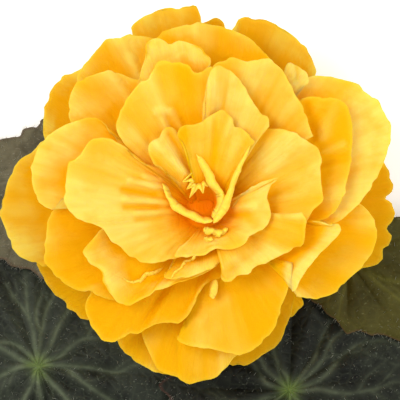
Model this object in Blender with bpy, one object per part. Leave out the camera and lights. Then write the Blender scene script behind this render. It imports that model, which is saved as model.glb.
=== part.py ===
"""Picked spray of a large double tuberous begonia.

One golden bloom lies face up on a short cut stem with four dark leaves spread beneath it.
Units are metres, +Z is up and the flat spot under the stem is the origin.
"""
import math
import random
from collections import namedtuple

import bmesh
import bpy
import numpy as np
from mathutils import Vector

MM = 0.001

# Bloom: the receptacle's zero height stands this far above the surface
BLOOM_HEIGHT = 23.0 * MM
PETAL_THICKNESS = 0.8 * MM
PETAL_ROWS = 3
PETAL_COLUMNS = 8

# Each pair runs from the heart's first petal to the outermost one: angles above level in degrees, mm
ROOT_ANGLES = (76, 14)
TIP_ANGLES = (24, -16)
ROOT_RADII = (1.5, 6.0)
ROOT_HEIGHTS = (12.5, 0.0)

# Shares of the half width at the claw, of the length where a rolled tip starts and over which it turns
CLAW_SHARE = 0.10
TAPER_ANGLE = 0.87 * math.pi
CURL_START = 0.80
CURL_SPAN = 0.16
MIDLINE_STEPS = 128
RIM_HEIGHT = 6.0 * MM
WAVE_HEIGHT = 0.9 * MM
LOBE_SHARE = 0.05

# Petals go from the heart outwards. The tip's azimuth, its curl and the blade's turn are in degrees,
# reach, width and the tip's sideways lean in mm. Cup and rim are slopes of the sides and the margin.
Petal = namedtuple("Petal", "azimuth reach width cup rim curl lean turn point",
                   defaults=(0.2, 0.0, 0.0, 0.0, 0.0, 0.0))
PETALS = [
    Petal(150, 13.5, 9, cup=0.1, turn=70),
    Petal(95, 14, 8, cup=0.1, turn=-65),
    Petal(76, 23.5, 20, cup=0.55, point=0.1),
    Petal(-38, 15.5, 28, cup=0.30, lean=-3),
    Petal(118, 27, 19, cup=0.35),
    Petal(181, 36, 36, cup=0.14, lean=4),
    Petal(80, 37, 28, cup=0.25),
    Petal(116, 40, 40, cup=0.22),
    Petal(-28, 28.5, 30, cup=0.22),
    Petal(16, 30, 36, cup=0.22),
    Petal(240, 23, 30, cup=0.25),
    Petal(58, 41, 30, cup=0.2),
    Petal(223, 30, 28, cup=0.30, rim=0.5),
    Petal(168, 43.5, 40, cup=0.16),
    Petal(102, 43, 26, cup=0.15, curl=100),
    Petal(-27, 35, 22, cup=0.35, rim=0.6),
    Petal(204, 42, 34, cup=0.12),
    Petal(18, 38, 36, cup=0.15),
    Petal(236, 40.5, 35, cup=0.15),
    Petal(137, 43.5, 38, cup=0.15),
    Petal(290, 37, 40, cup=0.12, lean=3),
    Petal(57, 43, 16, cup=0.2, curl=80),
    Petal(26, 51, 44, cup=0.12),
    Petal(82, 47, 40, cup=0.15),
    Petal(181, 52.3, 40, cup=0.08),
    Petal(124, 50, 36, cup=0.1),
    Petal(-17, 43, 34, cup=0.12),
    Petal(271, 43.5, 30, cup=0.08, lean=-4, point=0.1),
    Petal(257, 42, 30, cup=0.08),
    Petal(150, 50, 33, cup=0.08),
    Petal(101, 53, 31, cup=0.05),
    Petal(64, 50.5, 36, cup=0.05),
    Petal(216, 44.5, 29, cup=0.05),
    Petal(246, 43, 36, cup=0.05),
    Petal(297, 38, 34, cup=0.05),
    Petal(-4, 48.5, 38, cup=0.05),
    Petal(86, 49.5, 20, cup=0.05),
    Petal(313, 34.5, 12, cup=0.05),
]

# Receptacle: radius and height pairs in mm from its underside up to the heart
RECEPTACLE_PROFILE = [(2.6, -3.5), (6.2, -2.6), (8.4, 0.0), (7.0, 4.0), (5.2, 8.0), (3.6, 12.0), (1.6, 15.0)]
RECEPTACLE_SIDES = 12

# Stem: it lies on the surface from the cut end to its tip, places in mm
STEM_ROUTE = [(10.0, -104.0), (8.0, -74.0), (4.0, -46.0), (1.0, -20.0), (0.0, 0.0), (-2.0, 16.0)]
STEM_RADII = [5.2, 5.0, 4.6, 4.2, 3.9, 2.6]
STEM_SINK = 0.9
STEM_SIDES = 14
STEM_STEPS = 30
TUBE_SIDES = 8
GAP = 0.3 * MM

# Flower stalk: it leaves the stem behind the bloom and arches up to the receptacle
STALK_ROUTE = [(0.8, -15.0, 4.0), (0.6, -10.0, 8.6), (0.2, -4.0, 13.4), (0.0, -0.5, 16.8), (0.0, 0.0, 18.4),
               (0.0, 0.0, 19.2)]
STALK_RADII = [2.7, 2.0, 1.8, 1.9, 2.1, 2.2]

# Leaf blades: thickness, rise of the blade between veins and depth of the teeth
BLADE_THICKNESS = 0.9 * MM
BLADE_PUFF = 1.3 * MM
TOOTH_DEPTH = 0.022
SPOKES_PER_VEIN = 4
BLADE_RINGS = 4
VEIN_DIP = 0.10
SINUS_DIP = 0.70
SINUS_LIFT = 0.8
STUB_LENGTH = 7.0 * MM

# Veins list azimuth in degrees, length and height of the margin in mm, and the sinus follows the last.
# The petiole's route runs from the stub on the stem to just under the hub, in mm.
Leaf = namedtuple("Leaf", "name hub veins petiole")
LEAVES = [
    Leaf("leaf_1", (-43.4, -39.9, 10.0),
         [(-62, 40, 3), (-32, 41, 6), (-4, 40, 9), (24, 39, 8), (52, 38, 5), (80, 38, 3), (108, 39, 2),
          (137, 42, 1.5), (166, 46, 0.6), (195, 50, 0.45), (227, 44, 0.45), (258, 40, 1), (280, 38, 1.5)],
         [(0.5, -47.0, 4.2), (-6.5, -46.5, 4.6), (-20.0, -44.5, 6.0), (-34.0, -42.0, 7.8),
          (-43.4, -39.9, 9.9)]),
    Leaf("leaf_2", (-22.0, 4.0, 11.5),
         [(22, 21, 10), (50, 23, 9), (80, 26, 8), (108, 28, 6), (136, 29.5, 5), (154, 34, 3.5),
          (174, 58, 0.45), (195, 45, 4.5), (212, 33, 8.5), (240, 26, 10), (275, 22, 10.5),
          (308, 19, 10.5), (338, 18, 10.5)],
         [(-1.0, 8.0, 3.6), (-7.0, 8.0, 4.2), (-14.0, 6.6, 7.4), (-22.0, 4.0, 11.4)]),
    Leaf("leaf_3", (21.2, -45.8, 11.5),
         [(262, 31, 9), (285, 35, 5), (315, 40, 1.5), (344, 46, 0.45), (372, 56, 0.45), (393, 47, 2.5),
          (418, 38, 5.5), (448, 31, 9), (480, 32, 12), (510, 29, 12.4), (538, 30, 12.3), (565, 25, 12.2),
          (588, 26, 12)],
         [(7.5, -73.0, 4.6), (14.0, -68.0, 5.2), (19.5, -59.0, 7.8), (21.2, -45.8, 11.4)]),
    Leaf("leaf_4", (36.0, -12.0, 12.8),
         [(-170, 13, 12.8), (-130, 14, 12.8), (-90, 19, 12), (-55, 26, 9), (-30, 38, 4.8), (-6, 50, 0.45),
          (22, 26, 6), (50, 14, 10.5), (85, 14, 12), (120, 14, 12.5), (150, 13, 12.6)],
         [(0.5, -3.5, 3.9), (7.5, -3.5, 4.8), (22.0, -6.5, 8.4), (36.0, -12.0, 12.7)]),
]
PETIOLE_RADIUS = 1.9 * MM

PETAL_COLOUR = (0.92, 0.46, 0.02, 1.0)
LEAF_COLOUR = (0.030, 0.045, 0.035, 1.0)
STEM_COLOUR = (0.20, 0.16, 0.06, 1.0)


def clear_scene():
    for thing in list(bpy.data.objects):
        bpy.data.objects.remove(thing)


def paint(name, colour, roughness):
    """A plain Principled material."""
    material = bpy.data.materials.new(name)
    material.use_nodes = True
    shader = material.node_tree.nodes["Principled BSDF"]
    shader.inputs["Base Color"].default_value = colour
    shader.inputs["Roughness"].default_value = roughness
    return material


def mesh_object(name, points, faces):
    """A closed mesh object whose faces all point outwards."""
    mesh = bpy.data.meshes.new(name)
    mesh.from_pydata([tuple(point) for point in points], [], faces)
    shape = bmesh.new()
    shape.from_mesh(mesh)
    bmesh.ops.recalc_face_normals(shape, faces=shape.faces)
    bmesh.ops.triangulate(shape, faces=[face for face in shape.faces if len(face.verts) > 4])
    shape.to_mesh(mesh)
    shape.free()
    thing = bpy.data.objects.new(name, mesh)
    bpy.context.scene.collection.objects.link(thing)
    return thing


def smooth(value):
    value = np.clip(value, 0, 1)
    return value * value * (3 - 2 * value)


def between(pair, share):
    return pair[0] + (pair[1] - pair[0]) * share


def margin(side, petal):
    """Margin of the flat blade at a place across it from -1 to 1, as shares of length and half width."""
    angle = TAPER_ANGLE * np.abs(side) ** 0.92
    along = (1 + np.cos(angle)) / 2
    power = np.where(angle < math.pi / 2, 0.8, 1.1)
    across = np.sign(side) * np.sin(angle) ** power * (1 + 0.18 * np.cos(angle))
    along = along + petal.point * np.exp(-(side / 0.16) ** 2)
    return along / (1 + petal.point), across


def petal_surface(order, petal, rows, columns):
    """Middle surface of one petal, rows from the claw to the margin and columns across it."""
    depth = order / (len(PETALS) - 1)
    rng = random.Random(100 + order)
    root_angle = math.radians(between(ROOT_ANGLES, depth ** 0.8))
    tip_angle = math.radians(between(TIP_ANGLES, depth ** 0.9))
    root_radius = between(ROOT_RADII, depth) * MM
    root_height = between(ROOT_HEIGHTS, depth) * MM
    reach = petal.reach * MM
    half_width = petal.width / 2 * MM
    lean = petal.lean * MM

    # The midline rises steeply from the claw and arches over towards the tip
    steps = np.linspace(0, 1, MIDLINE_STEPS + 1)
    slope = tip_angle + (root_angle - tip_angle) * (1 - steps) ** 2
    slope = slope + math.radians(petal.curl) * smooth((steps - CURL_START) / CURL_SPAN)
    middle = (slope[1:] + slope[:-1]) / 2
    run = np.concatenate([[0], np.cumsum(np.cos(middle))]) / MIDLINE_STEPS
    rise = np.concatenate([[0], np.cumsum(np.sin(middle))]) / MIDLINE_STEPS
    length = (reach - root_radius) / run.max()

    outward = np.linspace(0, 1, rows + 1)[:, None]
    side = np.linspace(-1, 1, columns + 1)[None, :]
    outward, side = np.broadcast_arrays(outward, side)
    along, across = margin(side, petal)
    lobes = sum(rng.uniform(0.4, 1) * np.sin(side * waves + rng.uniform(0, 6.3)) for waves in (4, 7)) / 2
    spread = 1 + LOBE_SHARE * lobes * outward ** 3
    share = np.clip(outward * along * spread, 0, 1)
    flat = half_width * (CLAW_SHARE * side * (1 - outward) + across * outward * spread)
    angle = np.interp(share, steps, slope)
    radius = root_radius + length * np.interp(share, steps, run)
    height = root_height + length * np.interp(share, steps, rise)

    # Cupped sides, a raised margin and slow waves lift the blade off its midline
    cup = petal.cup * (flat / half_width) ** 2 * half_width * smooth(outward / 0.5)
    rim = petal.rim * RIM_HEIGHT * smooth((outward - 0.6) / 0.4) ** 2
    phase = 2 * math.pi * (rng.uniform(0.7, 1.1) * side + rng.uniform(0, 1))
    wave = WAVE_HEIGHT * np.sin(phase) * outward ** 2
    turn = math.radians(petal.turn) * smooth(outward / 0.4)
    lift = cup + rim + wave + flat * np.sin(turn)
    flat = flat * np.cos(turn) + lean * share ** 1.5
    radius = radius - np.sin(angle) * lift
    height = height + np.cos(angle) * lift
    azimuth = math.radians(petal.azimuth)
    return np.stack([radius * math.cos(azimuth) - flat * math.sin(azimuth),
                     radius * math.sin(azimuth) + flat * math.cos(azimuth),
                     height + BLOOM_HEIGHT], axis=-1)


def petal_solid(order, petal):
    """A petal as a thin closed blade, split into triangles alike on both faces."""
    middle = petal_surface(order, petal, PETAL_ROWS, PETAL_COLUMNS)
    down = np.gradient(middle, axis=0)
    over = np.gradient(middle, axis=1)
    normal = np.cross(down, over)
    normal /= np.linalg.norm(normal, axis=2, keepdims=True)
    upper = (middle + normal * PETAL_THICKNESS / 2).reshape(-1, 3)
    lower = (middle - normal * PETAL_THICKNESS / 2).reshape(-1, 3)
    count = len(upper)
    faces = []
    for row in range(PETAL_ROWS):
        for column in range(PETAL_COLUMNS):
            near = row * (PETAL_COLUMNS + 1) + column
            far = near + PETAL_COLUMNS + 1
            for triangle in ((near, far, far + 1), (near, far + 1, near + 1)):
                faces.append(triangle)
                faces.append(tuple(corner + count for corner in reversed(triangle)))
    last_row = PETAL_ROWS * (PETAL_COLUMNS + 1)
    edge = list(range(PETAL_COLUMNS + 1))
    edge += [row * (PETAL_COLUMNS + 1) + PETAL_COLUMNS for row in range(1, PETAL_ROWS + 1)]
    edge += [last_row + column for column in reversed(range(PETAL_COLUMNS))]
    edge += [row * (PETAL_COLUMNS + 1) for row in reversed(range(1, PETAL_ROWS))]
    for here, there in zip(edge, edge[1:] + edge[:1]):
        faces.append((here, there, there + count))
        faces.append((here, there + count, here + count))
    return mesh_object("petal", np.concatenate([upper, lower]), faces)


def turned(name, profile, sides):
    """A solid turned round the bloom's axis from radius and height pairs."""
    points = []
    for radius, height in profile:
        for index in range(sides):
            angle = 2 * math.pi * index / sides
            points.append((radius * math.cos(angle), radius * math.sin(angle), height))
    faces = [tuple(reversed(range(sides)))]
    for ring in range(len(profile) - 1):
        for index in range(sides):
            here = ring * sides + index
            there = ring * sides + (index + 1) % sides
            faces.append((here, there, there + sides, here + sides))
    faces.append(tuple(range((len(profile) - 1) * sides, len(profile) * sides)))
    return mesh_object(name, points, faces)


def curve_through(points, steps):
    """Points along a smooth curve through the given ones, evenly spaced between them."""
    ends = [2 * points[0] - points[1]] + list(points) + [2 * points[-1] - points[-2]]
    spans = len(points) - 1
    result = []
    for index in range(steps + 1):
        place = spans * index / steps
        span = min(int(place), spans - 1)
        share = place - span
        before, start, end, after = ends[span:span + 4]
        result.append(0.5 * (2 * start + (end - before) * share
                             + (2 * before - 5 * start + 4 * end - after) * share ** 2
                             + (3 * start - before - 3 * end + after) * share ** 3))
    return result


def tube(name, route, radii, sides, steps):
    """A tapering closed tube along a smooth route, all in metres."""
    centres = curve_through([np.array(point) for point in route], steps)
    widths = curve_through([np.array([radius]) for radius in radii], steps)
    points = []
    across = None
    for index, centre in enumerate(centres):
        ahead = centres[min(index + 1, steps)] - centres[max(index - 1, 0)]
        ahead = Vector(ahead).normalized()
        across = ahead.cross(Vector((0, 0, 1))) if across is None else across
        across = (across - ahead * across.dot(ahead)).normalized()
        up = across.cross(ahead)
        for side in range(sides):
            angle = 2 * math.pi * (side + 0.5) / sides
            offset = (across * math.cos(angle) + up * math.sin(angle)) * float(widths[index][0])
            points.append(Vector(centre) + offset)
    faces = [tuple(range(sides))]
    for ring in range(steps):
        for side in range(sides):
            here = ring * sides + side
            there = ring * sides + (side + 1) % sides
            faces.append((here, here + sides, there + sides, there))
    faces.append(tuple(reversed(range(steps * sides, (steps + 1) * sides))))
    return mesh_object(name, points, faces)


def blade_point(leaf, spoke, spread):
    """A point of the leaf's middle surface on a spoke, from the hub at 0 to the margin at 1."""
    veins = leaf.veins
    index, step = divmod(spoke, SPOKES_PER_VEIN)
    share = step / SPOKES_PER_VEIN
    azimuth, length, edge_height = veins[index]
    wraps = index == len(veins) - 1
    next_azimuth, next_length, next_height = veins[0] if wraps else veins[index + 1]
    if wraps:
        next_azimuth += 360
    dip = SINUS_DIP if wraps else VEIN_DIP
    bulge = math.sin(math.pi * share)
    tooth = TOOTH_DEPTH * (-1) ** step
    reach = (length + (next_length - length) * share) * (1 - dip * bulge) * (1 + tooth)
    edge = edge_height + (next_height - edge_height) * (1 - math.cos(math.pi * share)) / 2
    if wraps:
        edge += (leaf.hub[2] - edge) * bulge * SINUS_LIFT
    angle = math.radians(azimuth + (next_azimuth - azimuth) * share)
    height = leaf.hub[2] + (edge - leaf.hub[2]) * spread ** 1.5
    puff = BLADE_PUFF * bulge * math.sin(math.pi * min(1, spread)) ** 0.8
    return ((leaf.hub[0] + reach * spread * math.cos(angle)) * MM,
            (leaf.hub[1] + reach * spread * math.sin(angle)) * MM,
            height * MM + puff)


def blade_solid(leaf):
    """The leaf's blade as a thin closed shell, split into triangles alike on both faces."""
    spokes = len(leaf.veins) * SPOKES_PER_VEIN
    middle = [tuple(place * MM for place in leaf.hub)]
    for ring in range(1, BLADE_RINGS + 1):
        for spoke in range(spokes):
            middle.append(blade_point(leaf, spoke, ring / BLADE_RINGS))
    count = len(middle)
    half = BLADE_THICKNESS / 2
    points = [(x, y, z + half) for x, y, z in middle] + [(x, y, z - half) for x, y, z in middle]
    triangles = []
    for spoke in range(spokes):
        following = (spoke + 1) % spokes
        triangles.append((0, 1 + spoke, 1 + following))
        for ring in range(BLADE_RINGS - 1):
            near = 1 + ring * spokes
            far = near + spokes
            triangles.append((near + spoke, far + spoke, far + following))
            triangles.append((near + spoke, far + following, near + following))
    faces = []
    for triangle in triangles:
        faces.append(triangle)
        faces.append(tuple(corner + count for corner in reversed(triangle)))
    rim = 1 + (BLADE_RINGS - 1) * spokes
    for spoke in range(spokes):
        here = rim + spoke
        there = rim + (spoke + 1) % spokes
        faces.append((here, here + count, there + count))
        faces.append((here, there + count, there))
    return mesh_object("blade", points, faces)


def keep_one_body(thing):
    """Drop loose scraps and fill hollows that the fusing sealed."""
    shape = bmesh.new()
    shape.from_mesh(thing.data)
    unseen = set(shape.faces)
    bodies = []
    while unseen:
        body = {unseen.pop()}
        front = list(body)
        while front:
            face = front.pop()
            for edge in face.edges:
                for neighbour in edge.link_faces:
                    if neighbour in unseen:
                        unseen.remove(neighbour)
                        body.add(neighbour)
                        front.append(neighbour)
        bodies.append(body)
    main = max(bodies, key=len)
    spare = [face for body in bodies if body is not main for face in body]
    bmesh.ops.delete(shape, geom=spare, context="FACES")
    bmesh.ops.triangulate(shape, faces=shape.faces)
    shape.to_mesh(thing.data)
    shape.free()


def fuse(name, pieces, material):
    """Join closed pieces that cross one another into one solid."""
    base, others = pieces[0], pieces[1:]
    group = bpy.data.collections.new("group")
    for piece in others:
        group.objects.link(piece)
    union = base.modifiers.new("union", "BOOLEAN")
    union.operation = "UNION"
    union.solver = "MANIFOLD"
    union.operand_type = "COLLECTION"
    union.collection = group
    view = bpy.context.evaluated_depsgraph_get()
    mesh = bpy.data.meshes.new_from_object(base.evaluated_get(view))
    base.modifiers.clear()
    base.data = mesh
    for piece in others:
        bpy.data.objects.remove(piece)
    bpy.data.collections.remove(group)
    base.name = name
    base.data.name = name
    keep_one_body(base)
    base.data.materials.clear()
    base.data.materials.append(material)
    return base


def make_bloom():
    profile = [(radius * MM, BLOOM_HEIGHT + height * MM) for radius, height in RECEPTACLE_PROFILE]
    pieces = [turned("receptacle", profile, RECEPTACLE_SIDES)]
    pieces += [petal_solid(order, petal) for order, petal in enumerate(PETALS)]
    return fuse("bloom", pieces, paint("golden petal", PETAL_COLOUR, 0.5))


def make_stem():
    """Stem, flower stalk and the leaf stubs, flat underneath where they lie."""
    route = [(x * MM, y * MM, STEM_SINK * radius * MM) for (x, y), radius in zip(STEM_ROUTE, STEM_RADII)]
    radii = [radius * MM for radius in STEM_RADII]
    stem = tube("stem", route, radii, STEM_SIDES, STEM_STEPS)
    for corner in stem.data.vertices:
        corner.co.z = max(corner.co.z, 0.0)
    stalk_route = [tuple(place * MM for place in point) for point in STALK_ROUTE]
    stalk_radii = [radius * MM for radius in STALK_RADII]
    pieces = [stem, tube("stalk", stalk_route, stalk_radii, TUBE_SIDES, 9)]
    for leaf in LEAVES:
        foot, end = petiole_foot(leaf)
        pieces.append(tube("stub", [foot, end], [2.9 * MM, 2.2 * MM], TUBE_SIDES, 1))
    return fuse("stem", pieces, paint("begonia stem", STEM_COLOUR, 0.5))


def petiole_foot(leaf):
    """Where the stub leaves the stem's middle and where it ends."""
    foot, end = [Vector(point) * MM for point in leaf.petiole[:2]]
    return foot, foot + (end - foot).normalized() * STUB_LENGTH


def make_leaf(leaf):
    """Blade and petiole of one leaf, a small gap away from its stub."""
    foot, stub_end = petiole_foot(leaf)
    ahead = (stub_end - foot).normalized()
    start = stub_end + ahead * GAP
    route = [start, start + ahead * 2 * PETIOLE_RADIUS] + [Vector(point) * MM for point in leaf.petiole[2:]]
    radii = [PETIOLE_RADIUS] * (len(route) - 1) + [PETIOLE_RADIUS * 0.7]
    petiole = tube("petiole", route, radii, TUBE_SIDES, 8)
    return fuse(leaf.name, [blade_solid(leaf), petiole], paint(leaf.name, LEAF_COLOUR, 0.45))


def main():
    clear_scene()
    make_bloom()
    make_stem()
    for leaf in LEAVES:
        make_leaf(leaf)


main()
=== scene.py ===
"""Looks of a picked spray of a large double tuberous begonia.

One golden bloom lies face up on a short cut stem with four dark leaves spread beneath it. Every piece
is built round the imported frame, in metres, with the bloom's throat on the vertical axis.
"""
import math
import random
from collections import namedtuple

import bpy
import numpy as np
from bpy.props import FloatProperty, FloatVectorProperty, IntProperty, PointerProperty
from bpy.types import Operator, Panel, PropertyGroup
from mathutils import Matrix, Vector


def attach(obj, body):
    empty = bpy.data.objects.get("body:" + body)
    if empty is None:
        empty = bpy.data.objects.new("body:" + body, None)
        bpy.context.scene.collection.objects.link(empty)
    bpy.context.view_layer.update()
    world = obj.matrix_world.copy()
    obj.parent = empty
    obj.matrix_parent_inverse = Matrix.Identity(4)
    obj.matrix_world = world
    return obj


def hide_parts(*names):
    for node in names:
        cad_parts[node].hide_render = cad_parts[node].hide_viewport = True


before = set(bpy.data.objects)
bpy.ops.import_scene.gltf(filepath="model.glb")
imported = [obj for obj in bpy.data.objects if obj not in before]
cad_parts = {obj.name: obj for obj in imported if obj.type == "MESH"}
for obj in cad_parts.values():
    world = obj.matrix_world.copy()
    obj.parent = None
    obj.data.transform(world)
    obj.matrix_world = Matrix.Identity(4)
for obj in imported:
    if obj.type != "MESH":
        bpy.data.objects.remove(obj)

bl_info = {
    "name": "Picked begonia bloom",
    "version": (1, 0, 0),
    "blender": (4, 5, 0),
    "location": "View3D > Sidebar > Begonia",
    "description": "Builds the petals, heart, leaves, stem and studio of a picked begonia bloom",
    "category": "Add Mesh",
}

MM = 0.001

# Waves start within about one full turn, in radians, and their lengths vary by these factors
TURN = 6.3
UNEVEN = (0.85, 1.15)

# The receptacle's zero height stands this far above the surface
BLOOM_HEIGHT = 23.0 * MM

# Orange of the throat, partly the petals' own deeper colour and partly painted shade deep in the hollow, by its
# middle and half axes, and painted shade along a valley that runs out of it, by its ends in mm from the bloom's
# axis, half width and strength at each end
THROAT = (-1.8 * MM, 1.0 * MM, 42.0 * MM)
THROAT_SIZE = (8.6 * MM, 6.8 * MM, 9.0 * MM)
SHADE_VALLEY = [(-4.3, 3.3), (-18.9, 14.6)]
SHADE_VALLEY_WIDTH = 2.6 * MM
SHADE_VALLEY_STRENGTH = (0.75, 0.2)

# Each pair runs from the innermost petal to the outermost one: degrees above level, then mm
ROOT_ANGLES = (68, 14)
TIP_ANGLES = (24, -16)
ROOT_RADII = (0.7, 6.0)
ROOT_HEIGHTS = (13.6, 0.0)
CLAW_WIDTH = 2.6 * MM
MIDLINE_STEPS = 128

# A petal's margin: the fewest and the most faces along it, the width over which its lobes are measured, the
# width over which the rows inside it run straight, and its nibbles by length and height in mm, which come and
# go along each patch
COLUMN_LIMITS = (24, 130)
LOBE_WIDTH = 3.0 * MM
CALM_WIDTH = 5 * MM
NIBBLES = ((4.9, 0.16), (3.1, 0.14))
NIBBLE_PATCH = 9 * MM

# The margin lifts and then turns up: the least radius in mm and angle in degrees, and how far the turned
# part goes on beyond the blade as a share of its length
RIM_HEIGHT = 6.0 * MM
LEAST_ROLL = (0.2, 8)
ROLL_STEPS = 6
ROLL_SPAN = 0.04

# Relief of a blade: ruffles as waves across it, height and how fast they fade inwards, ripples as waves and
# height, creases as lengths in mm, and the share of the lobes that turns into folds. Blades of at least this
# half width have the ruffles' and ripples' full height.
RUFFLES = ((4, 0.55, 2), (7, 0.40, 3), (12, 0.26, 5), (21, 0.12, 8))
RIPPLES = ((9, 0.15), (17, 0.10))
CREASES = (6.5, 5.0, 4.0, 3.2)
CREASE_HEIGHT = 0.11
FOLD_SHARE = 0.9
FULL_HALF_WIDTH = 13 * MM
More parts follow.
